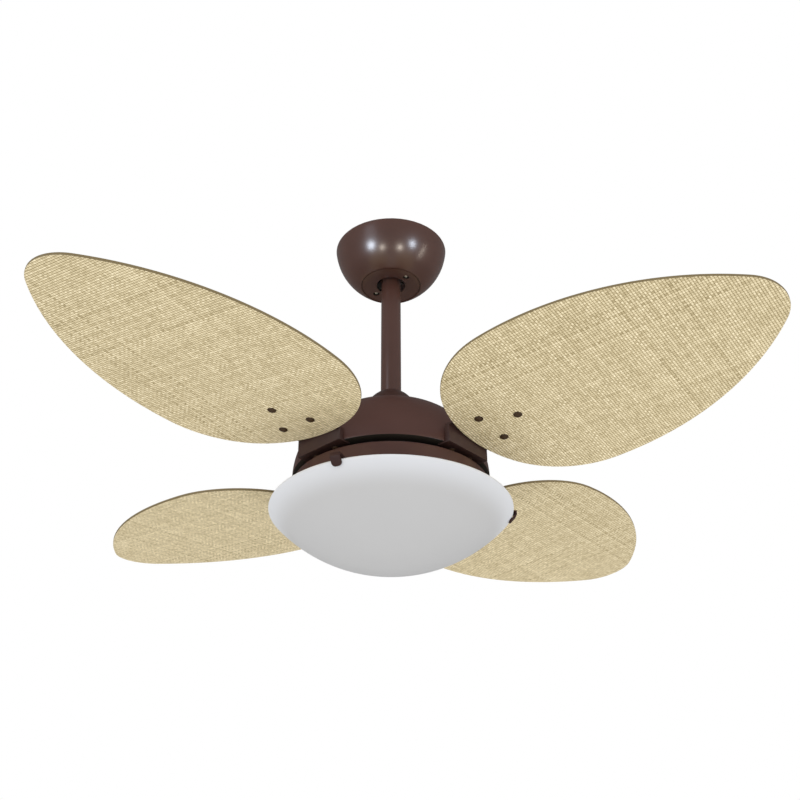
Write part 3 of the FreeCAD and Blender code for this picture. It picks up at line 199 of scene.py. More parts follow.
# bare metal: fine streaks that run round the axis, as turning leaves them
metal = {"streak": (1, 1, 12), "dark": 0.85, "spread": 0.15, "smoother": 0.06, "rougher": 0.08}


def metalMaterial(name, colour, roughness, brush=60.0):
    mat, tree, shader = newMaterial(name)
    stretch = addNode(tree, "Mapping", Scale=metal["streak"])
    wire(tree, addNode(tree, "TexCoord").outputs["Object"], stretch.inputs["Vector"])
    streak = noiseFrom(tree, stretch.outputs[0], brush, detail=5.0)
    tone = twoTone(tree, streak, scaled(colour, metal["dark"]), colour, metal["spread"])
    wire(tree, tone, shader.inputs["Base Color"])
    unevenRoughness(tree, shader, streak, roughness, metal["smoother"], metal["rougher"])
    setInputs(shader, Metallic=1.0)
    return mat


# plastic, rubber and porcelain: a fine even grain
plastic = {"grain": 400.0, "dark": 0.94, "spread": 0.15, "bump": 0.08, "depth": 0.0004}


def plasticMaterial(name, colour, roughness):
    mat, tree, shader = newMaterial(name)
    grain = noiseFrom(tree, addNode(tree, "TexCoord").outputs["Object"], plastic["grain"], detail=3.0)
    tone = twoTone(tree, grain, scaled(colour, plastic["dark"]), colour, plastic["spread"])
    wire(tree, tone, shader.inputs["Base Color"])
    addBump(tree, shader, grain, plastic["bump"], plastic["depth"])
    setInputs(shader, Roughness=roughness)
    return mat


# woven straw: strands across and along the blade, over and under by turns, on a board with a dark edge
straw = {"pitch": (3.25, 3.55), "turn": 5.2, "mean": (238, 221, 180), "edge": (128, 112, 78),
         "edgeSlope": 0.45, "cell": 0.26, "strandShade": 0.22, "cloud": 0.16, "cloudScale": 26.0,
         "odd": 0.03, "oddDepth": 0.13, "gap": 0.3, "gapWidth": 0.45, "crown": 1.05,
         "line": 0.8, "lineWidth": 0.6, "lineCrown": 1.04, "lengthwise": 0.94,
         "bump": 0.4, "depth": 0.0003, "roughness": 0.6, "specular": 0.25,
         "bleach": (1.0, 1.11, 1.43)}  # pale straws are whiter, dark ones yellower


def strawMaterial(name):
    mat, tree, shader = newMaterial(name)
    coords = addNode(tree, "TexCoord")
    turned = (0, 0, math.radians(straw["turn"]))
    pitch = [size / 1000 for size in straw["pitch"]] + [1]
    lay = addNode(tree, "Mapping", vector_type="TEXTURE", Rotation=turned, Scale=pitch)
    wire(tree, coords.outputs["Object"], lay.inputs["Vector"])
    laid = splitAxes(tree, lay.outputs[0])
    across, along = laid["X"], laid["Y"]
    weft = mathNode(tree, "FLOOR", across)
    warp = mathNode(tree, "FLOOR", along)
    manyCrossings = 4000.0  # an even number that keeps the count above nought
    crossing = mathNode(tree, "ADD", mathNode(tree, "ADD", weft, warp), manyCrossings)
    lengthwiseUnder = mathNode(tree, "MODULO", crossing, 2.0)

    def chance(x, y):  # one value from 0 to 1 for each strand or crossing
        seed = addNode(tree, "CombineXYZ")
        feed(tree, seed.inputs[0], x)
        feed(tree, seed.inputs[1], y)
        noise = addNode(tree, "TexWhiteNoise")
        wire(tree, seed.outputs[0], noise.inputs["Vector"])
        return noise.outputs["Value"]

    def swing(value, amount):  # spread about nought
        return mathNode(tree, "MULTIPLY_ADD", value, amount, -amount / 2)

    def ridge(position):  # 1 on the strand's middle, 0 at its border
        fromMiddle = mathNode(tree, "MULTIPLY_ADD", mathNode(tree, "FRACT", position), 2.0, -1.0)
        return mathNode(tree, "SUBTRACT", 1.0, mathNode(tree, "ABSOLUTE", fromMiddle))

    # every strand, crossing and stretch of the blade has a tone of its own, and a few strands are dull
    warpSeed, weftSeed = 11.0, 3.0
    strand = mixNode(tree, lengthwiseUnder, chance(warp, warpSeed), chance(weft, weftSeed))
    cloud = noiseFrom(tree, coords.outputs["Object"], straw["cloudScale"], detail=5.0, Roughness=0.6)
    dull = mathNode(tree, "MULTIPLY", mathNode(tree, "LESS_THAN", strand, straw["odd"]), -straw["oddDepth"])
    tone = swing(chance(weft, warp), straw["cell"])
    for part in (swing(strand, straw["strandShade"]), swing(cloud, straw["cloud"]), dull, 1.0):
        tone = mathNode(tree, "ADD", tone, part)

    # painted shade: dark gaps beside the upper strand, softer lines between the crosswise ones
    body = mixNode(tree, lengthwiseUnder, ridge(along), ridge(across))
    gap = mapRange(tree, body, From_Min=0.0, From_Max=straw["gapWidth"],
                   To_Min=straw["gap"], To_Max=straw["crown"])
    line = mapRange(tree, ridge(across), From_Min=0.0, From_Max=straw["lineWidth"],
                    To_Min=straw["line"], To_Max=straw["lineCrown"])
    crosswise = mathNode(tree, "MULTIPLY_ADD", lengthwiseUnder, 1 - straw["lengthwise"], straw["lengthwise"])
    for part in (gap, line, crosswise):
        tone = mathNode(tree, "MULTIPLY", tone, part)

    tint = addNode(tree, "CombineXYZ")
    for socket, power in zip(tint.inputs, straw["bleach"]):
        wire(tree, mathNode(tree, "POWER", tone, power), socket)
    shaded = addNode(tree, "VectorMath", operation="MULTIPLY")
    shaded.inputs[0].default_value = linear(*straw["mean"])
    wire(tree, tint.outputs[0], shaded.inputs[1])
    facing = mathNode(tree, "ABSOLUTE", splitAxes(tree, coords.outputs["Normal"])["Z"])
    side = mathNode(tree, "LESS_THAN", facing, straw["edgeSlope"])
    wire(tree, mixColour(tree, side, shaded.outputs[0], linear(*straw["edge"])), shader.inputs["Base Color"])
    addBump(tree, shader, body, straw["bump"], straw["depth"])
    setInputs(shader, Roughness=straw["roughness"], Specular_IOR_Level=straw["specular"])
    return mat


# opal glass, with painted light: a rim that glows a little with the light from above
opal = {"cloud": 6.0, "dim": 0.985, "spread": 0.15, "roughness": 0.46, "specular": 0.5, "milk": 0.25,
        "milkRadius": (0.012, 0.012, 0.012), "milkScale": 0.3}
paintedRimLight = {"height": -0.408, "fade": 0.026, "colour": linear(229, 231, 236)}  # metres


def opalMaterial(name, colour, rim=None):
    mat, tree, shader = newMaterial(name)
    coords = addNode(tree, "TexCoord")
    cloud = noiseFrom(tree, coords.outputs["Object"], opal["cloud"], detail=3.0)
    tone = twoTone(tree, cloud, scaled(colour, opal["dim"]), colour, opal["spread"])
    # painted light: a paler colour fades in towards the rim's height
    if rim:
        height = splitAxes(tree, coords.outputs["Object"])["Z"]
        lit = mapRange(tree, height, interpolation_type="SMOOTHSTEP",
                       From_Min=rim["height"] - rim["fade"], From_Max=rim["height"])
        tone = mixColour(tree, lit, tone, rim["colour"])
    wire(tree, tone, shader.inputs["Base Color"])
    setInputs(shader, Roughness=opal["roughness"], Specular_IOR_Level=opal["specular"],
              Subsurface_Weight=opal["milk"], Subsurface_Radius=opal["milkRadius"],
              Subsurface_Scale=opal["milkScale"])
    return mat


finishes = {
    "brown_paint": paintMaterial("brownPaint", linear(84, 54, 46), 0.42, peel=0.03, coat=1.0, under=0.72),
    "brown_screw": paintMaterial("brownLacquer", linear(66, 47, 28), 0.42),
    "woven_straw": strawMaterial("wovenStraw"),
    "opal_glass": opalMaterial("opalGlass", linear(206, 206, 207), rim=paintedRimLight),
    "frosted_bulb": opalMaterial("frostedBulb", linear(238, 236, 228)),
    "zinc_steel": metalMaterial("zincSteel", linear(176, 176, 172), 0.4),
    "bright_screw": metalMaterial("brightScrew", linear(186, 184, 180), 0.3),
    "bearing_steel": metalMaterial("bearingSteel", linear(196, 196, 200), 0.2),
    "lamination": metalMaterial("laminatedSheet", linear(112, 112, 116), 0.5, brush=240.0),
    "copper_wire": metalMaterial("copperWire", linear(190, 110, 66), 0.35, brush=320.0),
    "cast_aluminium": metalMaterial("castAluminium", linear(182, 183, 186), 0.52),
    "black_rubber": plasticMaterial("blackRubber", linear(34, 34, 34), 0.8),
    "white_plastic": plasticMaterial("whitePorcelain", linear(228, 227, 220), 0.3),
    "black_plastic": plasticMaterial("blackPlastic", linear(38, 38, 40), 0.5),
}
# duller browns: arms and cup (darker, as painted shade), housing and pan, claws, then a dark brown of
# painted shade for the housing's underside and the screw recesses
satinBrown = paintMaterial("satinBrown", linear(66, 42, 36), 0.5, peel=0.03, coat=0.3, under=0.72)
domeBrown = paintMaterial("domeBrown", linear(80, 51, 44), 0.5, peel=0.03, coat=0.25, under=0.72)
hookBrown = paintMaterial("hookBrown", linear(62, 38, 34), 0.55, peel=0.03)
rimShade = paintMaterial("bareUnderside", linear(46, 40, 32), 0.6)
nodeSlots = {entry["node"]: entry["material_slot"] for entry in frame["record"]["subparts"]}
for nodeName, obj in frame["nodes"].items():
    for held in obj.material_slots:
        held.material = finishes[nodeSlots[nodeName]]
print("finishes made:", len(finishes))


# helpers for meshes, whose settings are in millimetres and whose points are in metres
def toMesh(build, name):
    mesh = bpy.data.meshes.new(name)
    build.to_mesh(mesh)
    build.free()
    return mesh


def addObject(name, data):
    obj = bpy.data.objects.new(name, data)
    scene.collection.objects.link(obj)
    return obj


def shadeSmooth(mesh, angle=35):
    mesh.polygons.foreach_set("use_smooth", [True] * len(mesh.polygons))
    mesh.set_sharp_from_angle(angle=math.radians(angle))


def smoothObject(name, mesh, angle=35):
    shadeSmooth(mesh, angle)
    return addObject(name, mesh)


def finishPiece(obj, body, slotName, *nodes, finish=None):
    obj.data.materials.clear()
    obj.data.materials.append(finish or finishes[slotName])
    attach(obj, body)
    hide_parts(*nodes)


def bridge(build, low, high):  # a band of faces between two loops, or from a loop to one point
    count = max(len(low), len(high))
    for i in range(count if count > 1 else 0):
        j = (i + 1) % count
        if len(low) == 1:
            build.faces.new((low[0], high[j], high[i]))
        elif len(high) == 1:
            build.faces.new((low[i], low[j], high[0]))
        else:
            build.faces.new((low[i], low[j], high[j], high[i]))


# turned pieces: a profile of radii and heights, spun about the axis
def arcPoints(centre, radius, start, end, steps):
    angles = np.radians(np.linspace(start, end, steps))
    return [(centre[0] + radius * math.cos(a), centre[1] + radius * math.sin(a)) for a in angles]


def sideArc(lowPoint, highPoint, radius, steps):  # arc between two points of a profile, bulging outward
    (x0, y0), (x1, y1) = lowPoint, highPoint
    half = math.hypot(x1 - x0, y1 - y0) / 2
    depth = math.sqrt(radius ** 2 - half ** 2)
    nx, ny = -(y1 - y0) / (2 * half), (x1 - x0) / (2 * half)
    cx, cy = (x0 + x1) / 2 + nx * depth, (y0 + y1) / 2 + ny * depth
    start = math.degrees(math.atan2(y0 - cy, x0 - cx))
    end = math.degrees(math.atan2(y1 - cy, x1 - cx))
    return arcPoints((cx, cy), radius, start, end, steps)


def bulgeRadius(spread, height):  # of an arc that stands upright at its foot and leans in by the spread
    return (spread ** 2 + height ** 2) / (2 * spread)


onAxis = 1e-6  # a radius that counts as nought


def roundCorners(points, radius, steps=3):
    nearlyStraight = -0.9  # cosine between the two sides, corners flatter than this stay
    sideShare = 0.45  # of a short side that one corner may take
    out = []
    count = len(points)
    for i in range(count):
        before, here, after = (np.array(points[(i + k) % count], float) for k in (-1, 0, 1))
        a, b = before - here, after - here
        la, lb = np.linalg.norm(a), np.linalg.norm(b)
        if min(la, lb) < 1e-9:  # the same point twice
            continue
        if here[0] < onAxis or np.dot(a, b) / (la * lb) < nearlyStraight:
            out.append(tuple(here))
            continue
        reach = min(radius, la * sideShare, lb * sideShare)
        first, last = here + a / la * reach, here + b / lb * reach
        for t in np.linspace(0, 1, steps):
            out.append(tuple((1 - t) ** 2 * first + 2 * t * (1 - t) * here + t ** 2 * last))
    return out


def turnPiece(name, points, rounding, segments):
    build = bmesh.new()
    angles = np.linspace(0, 2 * math.pi, segments, endpoint=False)
    rings = []
    for r, z in roundCorners(points, rounding):
        if r < onAxis:
            rings.append([build.verts.new((0, 0, z / 1000))])
            continue
        circle = [(r * math.cos(a) / 1000, r * math.sin(a) / 1000, z / 1000) for a in angles]
        rings.append([build.verts.new(point) for point in circle])
    for low, high in zip(rings, rings[1:] + rings[:1]):
        bridge(build, low, high)
    bmesh.ops.recalc_face_normals(build, faces=build.faces)
    return smoothObject(name, toMesh(build, name))


def carve(obj, tools):  # takes the tools' shapes out of a piece
    for tool in tools:
        cutter = obj.modifiers.new("carve", "BOOLEAN")
        cutter.object = tool
        cutter.operation = "DIFFERENCE"
        cutter.solver = "EXACT"
    bpy.context.view_layer.update()
    graph = bpy.context.evaluated_depsgraph_get()
    mesh = bpy.data.meshes.new_from_object(obj.evaluated_get(graph))
    obj.modifiers.clear()
    obj.data = mesh
    shadeSmooth(mesh)
    for tool in tools:
        bpy.data.objects.remove(tool)


def cylinderTool(radius, low, high, x):
    build = bmesh.new()
    bmesh.ops.create_cone(build, cap_ends=True, segments=48, radius1=radius / 1000, radius2=radius / 1000,
                          depth=(high - low) / 1000)
    bmesh.ops.translate(build, verts=build.verts, vec=(x / 1000, 0, (low + high) / 2000))
    return addObject("tool", toMesh(build, "tool"))


def boxTool(low, high, azimuth):
    build = bmesh.new()
    bmesh.ops.create_cube(build, size=1)
    for v in build.verts:
        v.co = Vector([(lo + hi) / 2000 + c * (hi - lo) / 1000 for c, lo, hi in zip(v.co, low, high)])
    bmesh.ops.rotate(build, verts=build.verts, matrix=Matrix.Rotation(math.radians(azimuth), 3, "Z"))
    return addObject("tool", toMesh(build, "tool"))


# canopy: bowl-shaped shell, flat disc set in behind a crease, two screw recesses with bosses behind
canopy = {"rim": 77.4, "top": -0.5, "curve": 80.0, "disc": 42.0, "depth": 58.5, "step": 0.6, "wall": 1.5,
          "crease": 0.9, "groove": 1.2, "grooveDepth": 0.96, "lipEdge": 0.15,
          "hole": 19.9, "round": 0.35, "segments": 192,
          "recess": 4.7, "recessPlay": 0.2, "recessDepth": 3.0, "through": 2.0,
          "screw": 2.1, "screwAt": 28.3, "slimmer": 0.72,
          "boss": 6.8, "bossTop": -52.9, "bossPlay": 0.1, "bossLip": 0.25, "bossLipTop": 0.6,
          "bossRound": 0.2, "bossSegments": 48}


def makeCanopy(c):
    face = c["step"] - c["depth"]
    back = face + c["wall"]
    outer = sideArc((c["disc"], -c["depth"]), (c["rim"], c["top"]), c["curve"], steps=40)
    innerEnds = (c["disc"] - c["wall"], back), (c["rim"] - c["wall"], c["top"])
    inner = sideArc(*innerEnds, c["curve"] - c["wall"], steps=24)
    edge = c["disc"] - c["crease"]
    bed = edge - c["groove"]
    deep = face + c["grooveDepth"]
    lip = [(c["hole"], face), (bed, face), (bed, deep), (edge, deep), (edge, c["lipEdge"] - c["depth"])]
    points = lip + outer + inner[::-1] + [(c["hole"], back)]
    obj = turnPiece("canopyShell", points, c["round"], c["segments"])
    hole, low, high = c["recess"] - c["recessPlay"], face - c["through"], back + c["through"]
    carve(obj, [cylinderTool(hole, low, high, side * c["screwAt"]) for side in (1, -1)])
    finishPiece(obj, "ceiling_mount", "brown_paint", "canopy")


def makeBosses(c):  # they hold the screws' seats
    face = c["step"] - c["depth"]
    bore, lip = c["recess"] - c["bossPlay"], c["recess"] + c["bossLip"]
    seat, low = face + c["recessDepth"], face + c["bossPlay"]
    ring = [(c["screw"], seat), (bore, seat), (bore, low), (lip, low), (lip, face + c["bossLipTop"]),
            (c["boss"], face + c["wall"]), (c["boss"], c["bossTop"]), (c["screw"], c["bossTop"])]
    for side in (1, -1):
        boss = turnPiece("canopyBoss", ring, c["bossRound"], c["bossSegments"])
        for v in boss.data.vertices:
            v.co.x += side * c["screwAt"] / 1000
        # painted shade: the bosses take the dark brown, so that the screw recesses read dark
        boss.data.materials.append(rimShade)
        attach(boss, "ceiling_mount")


def makeCanopyScrews(c):  # the solid's screws made slimmer, so that the heads stand free in their recesses
    mesh = frame["nodes"]["canopy_screws"].data.copy()
    for v in mesh.vertices:
        middle = math.copysign(c["screwAt"] / 1000, v.co.x)
        v.co.x = middle + (v.co.x - middle) * c["slimmer"]
        v.co.y *= c["slimmer"]
    obj = smoothObject("canopyScrews", mesh, angle=40)
    finishPiece(obj, "ceiling_mount", "bright_screw", "canopy_screws")


makeCanopy(canopy)
makeBosses(canopy)
makeCanopyScrews(canopy)
print("canopy turned")

# downrod and the bell over its lower joint
rod = {"radius": 13.45, "wall": 1.5, "top": -14.0, "end": -262.0, "round": 0.4, "segments": 96}
cup = {"neck": 13.55, "foot": 37.0, "top": -234.4, "base": -273.0, "wall": 1.2, "round": 0.3,
       "segments": 128, "proud": 0.1}


def makeRod(r):
    bore = r["radius"] - r["wall"]
    points = [(bore, r["end"]), (r["radius"], r["end"]), (r["radius"], r["top"]), (bore, r["top"])]
    obj = turnPiece("rodTube", points, r["round"], r["segments"])
    finishPiece(obj, "hanging_frame", "brown_paint", "downrod")


def makeCup(c):
    height = c["top"] - c["base"]
    curve = bulgeRadius(c["foot"] - c["neck"], height)
    inner = curve - c["wall"]
    centre = (c["foot"] - curve, c["base"])
    topAngle = math.degrees(math.atan2(height, c["neck"] - centre[0]))
    innerAngle = math.degrees(math.acos((c["neck"] - centre[0]) / inner))
    points = arcPoints(centre, curve, 0, topAngle, steps=36)
    points += arcPoints(centre, inner, innerAngle, 0, steps=24)
    obj = turnPiece("bellCup", points, c["round"], c["segments"])
    # the cup takes the darker brown, whose colour holds painted shade
    finishPiece(obj, "hanging_frame", "brown_paint", "motor_cup", finish=satinBrown)


def sinkGrubScrew(c):  # set in flush with the bell's wall
    mesh = frame["nodes"]["cup_grub_screw"].data.copy()
    middle = sum((v.co for v in mesh.vertices), Vector()) / len(mesh.vertices)
    axis = Vector((middle.x, middle.y, 0)).normalized()
    curve = bulgeRadius(c["foot"] - c["neck"], c["top"] - c["base"])
    for v in mesh.vertices:
        up = v.co.z * 1000 - c["base"]
        wall = (math.sqrt(curve ** 2 - up ** 2) + c["foot"] - curve + c["proud"]) / 1000
        out = v.co.dot(axis)
        if out > wall:
            v.co += axis * (wall - out)
    obj = smoothObject("grubScrew", mesh, angle=40)
    finishPiece(obj, "hanging_frame", "zinc_steel", "cup_grub_screw")


makeRod(rod)
makeCup(cup)
sinkGrubScrew(cup)
print("rod and cup turned")

# motor housing: dome with a flat crown, its rim turned in, with a dark brown of painted shade below
housing = {"rim": 124.5, "crown": 61.0, "top": -275.0, "height": 88.8, "wall": 2.0, "lip": 16.5,
           "round": 0.8, "segments": 192, "hole": 14.0, "hub": 24.0, "seat": 20.0, "seatEnd": -289.0,
           "bareUpTo": 1.0, "bareSlope": -0.8}


def makeHousing(h):
    height, wall = h["height"], h["wall"]
    curve = bulgeRadius(h["rim"] - h["crown"], height)
    inner = curve - wall
    low, roof = h["top"] - height, h["top"] - wall
    centre = (h["rim"] - curve, low)
    innerStart = math.degrees(math.asin(wall / inner))
    innerEnd = math.degrees(math.asin((height - wall) / inner))
    lip = h["rim"] - h["lip"]
    points = [(h["hole"], roof), (h["hole"], h["top"])]
    points += arcPoints(centre, curve, math.degrees(math.asin(height / curve)), 0, steps=48)
    points += [(lip, low), (lip, low + wall)] + arcPoints(centre, inner, innerStart, innerEnd, steps=32)
    points += [(h["hub"], roof), (h["hub"], h["seatEnd"]), (h["seat"], h["seatEnd"]), (h["seat"], roof)]
    obj = turnPiece("housingDome", points, h["round"], h["segments"])
    finishPiece(obj, "rotor", "brown_paint", "motor_housing", finish=domeBrown)
    # painted shade: the faces under the rim take the dark brown
    obj.data.materials.append(rimShade)
    for face in obj.data.polygons:
        if face.normal.z < h["bareSlope"] and face.center.z < (low + h["bareUpTo"]) / 1000:
            face.material_index = 1


makeHousing(housing)
print("housing turned")

# light pan with notches for the claws, the first one wider at one side
pan = {"radius": 124.0, "wall": 1.5, "top": -372.0, "end": -405.5, "edge": 2.5, "hole": 8.0,
       "round": 0.3, "segments": 192,
       "claws": (-71.0, 49.0, 169.0), "notchHalf": 8.0, "extra": 9.0, "notchTop": -397.0, "notchReach": 6.0,
       "notchBelow": 3.0}


def makePan(p):
    under, inside = p["top"] - p["wall"], p["radius"] - p["wall"]
    points = [(p["hole"], under), (p["hole"], p["top"])]
    points += arcPoints((p["radius"] - p["edge"], p["top"] - p["edge"]), p["edge"], 90, 0, steps=8)
    points += [(p["radius"], p["end"]), (inside, p["end"]), (inside, under)]
    obj = turnPiece("panDish", points, p["round"], p["segments"])
    tools = []
    for azimuth in p["claws"]:
        wide = p["extra"] if azimuth == p["claws"][0] else 0
        low = (p["radius"] - p["notchReach"], -p["notchHalf"], p["end"] - p["notchBelow"])
        high = (p["radius"] + p["notchReach"], p["notchHalf"] + wide, p["notchTop"])
        tools.append(boxTool(low, high, azimuth))
    carve(obj, tools)
    finishPiece(obj, "hanging_frame", "brown_paint", "light_pan", finish=domeBrown)


makePan(pan)
print("light pan turned")

# opal bowl: shallow dome, rounded rim, shoulder turned in to the mouth
bowl = {"radius": 152.0, "rimZ": -406.5, "depth": 69.5, "edge": 2.0, "wall": 3.0, "mouth": 127.0,
        "round": 0.6, "segments": 192}


def makeBowl(b):
    reach, top = b["radius"] - b["edge"], b["rimZ"] + b["edge"]
    dome = (reach ** 2 + b["depth"] ** 2 - b["edge"] ** 2) / (2 * (b["depth"] - b["edge"]))
    inner = dome - b["wall"]
    centre = (0, b["rimZ"] - b["depth"] + dome)
    lean = math.degrees(math.atan2(b["rimZ"] - centre[1], reach))
    innerLean = -math.degrees(math.asin((centre[1] - top + b["wall"]) / inner))
    outside = arcPoints(centre, dome, -90, lean, steps=72)
    outside += arcPoints((reach, b["rimZ"]), b["edge"], lean, 90, steps=14)[1:]
    inside = arcPoints(centre, inner, innerLean, -90, steps=48)
    outside[0], inside[-1] = (0.0, outside[0][1]), (0.0, inside[-1][1])
    points = outside + [(b["mouth"], top), (b["mouth"], top - b["wall"])] + inside
    obj = turnPiece("opalBowl", points, b["round"], b["segments"])
    finishPiece(obj, "hanging_frame", "opal_glass", "glass_bowl")


makeBowl(bowl)
print("bowl turned")

# blades: leaf outline of tangent arcs, a thin panel with raised weave on both faces
bladeCount = 4
blade = {"root": 129.6, "tip": 534.5, "half": 141.9, "widest": 271.9, "tipRound": 57.0, "rootRound": 173.7,
         "shoulder": 245.0, "thick": 3.6, "plane": -360.0, "pitch": -6.02, "cone": 4.15, "sweep": 2.27,
         "offset": -3.4, "edgeRound": 0.7, "outlineSteps": 40}
weave = {"relief": 0.22, "base": 0.03, "sink": 0.02, "border": 1.2, "fade": 2.0, "outlineSteps": 16,
         "acrossStrand": (0.35, 1.0, 0.35), "alongStrand": (0.75, 1.0, 0.75)}


def leafOutline(b, steps):
    half, widest, rt, rn = b["half"], b["widest"], b["tipRound"], b["rootRound"]
    tipC, rootC = b["tip"] - rt, b["root"] + rn
    reach = tipC - widest
    flank = (reach ** 2 + half ** 2 - rt ** 2) / (2 * (half - rt))
    flankY = half - flank
    tipPoint = (tipC + reach * rt / (flank - rt), -flankY * rt / (flank - rt))
    lead = b["shoulder"] - widest
    rise = math.sqrt(flank ** 2 - lead ** 2)
    shoulder = (b["shoulder"], flankY + rise)
    nx, ny = lead / flank, rise / flank
    across = shoulder[0] - rootC
    corner = (rn ** 2 - across ** 2 - shoulder[1] ** 2) / (2 * (rn - across * nx - shoulder[1] * ny))
    cornerC = (shoulder[0] - corner * nx, shoulder[1] - corner * ny)
    stretch = rn / (rn - corner)
    rootPoint = (rootC + (cornerC[0] - rootC) * stretch, cornerC[1] * stretch)

    def sweep(centre, radius, first, last, count):  # clockwise, without its last point
        a0 = math.atan2(first[1] - centre[1], first[0] - centre[0])
        a1 = math.atan2(last[1] - centre[1], last[0] - centre[0])
        while a1 > a0:
            a1 -= 2 * math.pi
        angles = np.linspace(a0, a1, count)[:-1]
        return [(centre[0] + radius * math.cos(a), centre[1] + radius * math.sin(a)) for a in angles]

    upper = sweep((rootC, 0), rn, (b["root"], 0), rootPoint, steps // 2)
    upper += sweep(cornerC, corner, rootPoint, shoulder, steps)
    upper += sweep((widest, flankY), flank, shoulder, tipPoint, steps * 2)
    upper += sweep((tipC, 0), rt, tipPoint, (b["tip"], 0), steps // 2)
    lower = [(x, -y) for x, y in upper[1:][::-1]]
    return np.array(upper + [(b["tip"], 0.0)] + lower)


def insetLoop(points, distance):
    ahead = np.roll(points, -1, axis=0) - np.roll(points, 1, axis=0)
    ahead /= np.linalg.norm(ahead, axis=1)[:, None]
    return points + np.stack([ahead[:, 1], -ahead[:, 0]], axis=1) * distance


def panelMesh(b):
    loop = leafOutline(b, b["outlineSteps"])
    build = bmesh.new()
    r, t = b["edgeRound"], b["thick"]
    cheek = r * 0.3  # where the quarter round is halfway
    section = [(r, 0.0), (cheek, cheek), (0.0, r), (0.0, t - r), (cheek, t - cheek), (r, t)]
    rings = []
    for inset, z in section:
        rings.append([build.verts.new((x / 1000, y / 1000, z / 1000)) for x, y in insetLoop(loop, inset)])
    for low, high in zip(rings, rings[1:]):
        bridge(build, low, high)
    build.faces.new(rings[0])
    build.faces.new(rings[-1][::-1])
    bmesh.ops.recalc_face_normals(build, faces=build.faces)
    return toMesh(build, "leafPanel")


def edgeDistance(points, loop):  # distance in from the outline, negative outside
    px, py = points[:, 0], points[:, 1]
    best = np.full(len(points), np.inf)
    inside = np.zeros(len(points), bool)
    for (x0, y0), (x1, y1) in zip(loop, np.roll(loop, -1, axis=0)):
        dx, dy = x1 - x0, y1 - y0
        t = np.clip(((px - x0) * dx + (py - y0) * dy) / (dx * dx + dy * dy), 0, 1)
        best = np.minimum(best, np.hypot(px - x0 - t * dx, py - y0 - t * dy))
        if dy != 0:
            inside ^= ((y0 > py) != (y1 > py)) & (px < x0 + (py - y0) * dx / dy)
    return np.where(inside, best, -best)


def weaveMesh(b, w):  # three points across each strand, the upper strand of every crossing raised
    parts = len(w["acrossStrand"])
    turn = math.radians(straw["turn"])
    c, s = math.cos(turn), math.sin(turn)
    loop = leafOutline(b, w["outlineSteps"])
    laid = loop @ np.array([[c, -s], [s, c]])
    counts = []
    for axis, pitch in enumerate(straw["pitch"]):
        first, last = math.floor(laid[:, axis].min() / pitch), math.ceil(laid[:, axis].max() / pitch)
        counts.append(np.arange(first * parts, last * parts))
    gridX, gridY = np.meshgrid(*counts, indexing="ij")
    u, v = [(grid.ravel() + 0.5) * p / parts for grid, p in zip((gridX, gridY), straw["pitch"])]
    flat = np.stack([u * c - v * s, u * s + v * c], axis=1)
    depth = edgeDistance(flat, loop)
    keep = depth > w["border"]

    (cellX, partX), (cellY, partY) = np.divmod(gridX.ravel(), parts), np.divmod(gridY.ravel(), parts)
    across, along = np.array(w["acrossStrand"]), np.array(w["alongStrand"])
    lengthwiseUnder = (cellX + cellY) % 2 == 1
    raised = np.where(lengthwiseUnder, across[partX] * along[partY], across[partY] * along[partX])
    fade = np.clip((depth - w["border"]) / w["fade"], 0, 1)
    height = ((w["base"] + w["relief"] * raised) * fade)[keep]

    number = np.where(keep, np.cumsum(keep) - 1, -1).reshape(gridX.shape)
    corners = (number[:-1, :-1], number[:-1, 1:], number[1:, 1:], number[1:, :-1])
    quads = np.stack(corners, axis=-1).reshape(-1, 4)
    quads = quads[(quads >= 0).all(axis=1)]
    under = np.column_stack([flat[keep], -height + w["sink"]])
    over = np.column_stack([flat[keep], b["thick"] + height - w["sink"]])
    faces = np.vstack([quads, quads[:, ::-1] + len(under)])
    mesh = bpy.data.meshes.new("leafWeave")
    mesh.from_pydata((np.vstack([under, over]) / 1000).tolist(), [], faces.tolist())
    mesh.polygons.foreach_set("use_smooth", [True] * len(mesh.polygons))
    mesh.update()
    print("weave:", len(mesh.vertices), "points")
    return mesh


def bladeMatrix(b, number):
    def turned(angle, axis):
        return Matrix.Rotation(math.radians(angle), 4, axis)

    hung = turned(number * 360 / bladeCount, "Z") @ Matrix.Translation((0, 0, b["plane"] / 1000))
    tilted = turned(-b["cone"], "Y") @ turned(b["pitch"], "X") @ turned(b["sweep"], "Z")
    return hung @ tilted @ Matrix.Translation((0, b["offset"] / 1000, 0))


def makeBlades(b, w):
    panel, facing = panelMesh(b), weaveMesh(b, w)
    for mesh in (panel, facing):
        mesh.materials.append(finishes["woven_straw"])
    for number in range(bladeCount):
        for mesh, name in ((panel, "strawPanel"), (facing, "strawWeave")):
            obj = addObject("%s%d" % (name, number + 1), mesh)
            obj.matrix_world = bladeMatrix(b, number)
            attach(obj, "rotor")
            if mesh is panel:
                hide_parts("blade_%d" % (number + 1))


makeBlades(blade, weave)
print("blades woven")

# pressed pieces keep their shape and get the soft edges of bent sheet
pressed = {"armEdge": 0.6, "clawEdge": 0.5, "flat": 2, "corner": 30}  # millimetres and degrees
pressedBodies = {"blade_arm_%d" % (number + 1): "rotor" for number in range(bladeCount)}
pressedBodies.update({"claw_1": "sprung_claw", "claw_2": "hanging_frame", "claw_3": "hanging_frame"})
samePoint = 1e-6  # points of the solids' meshes closer than this are one


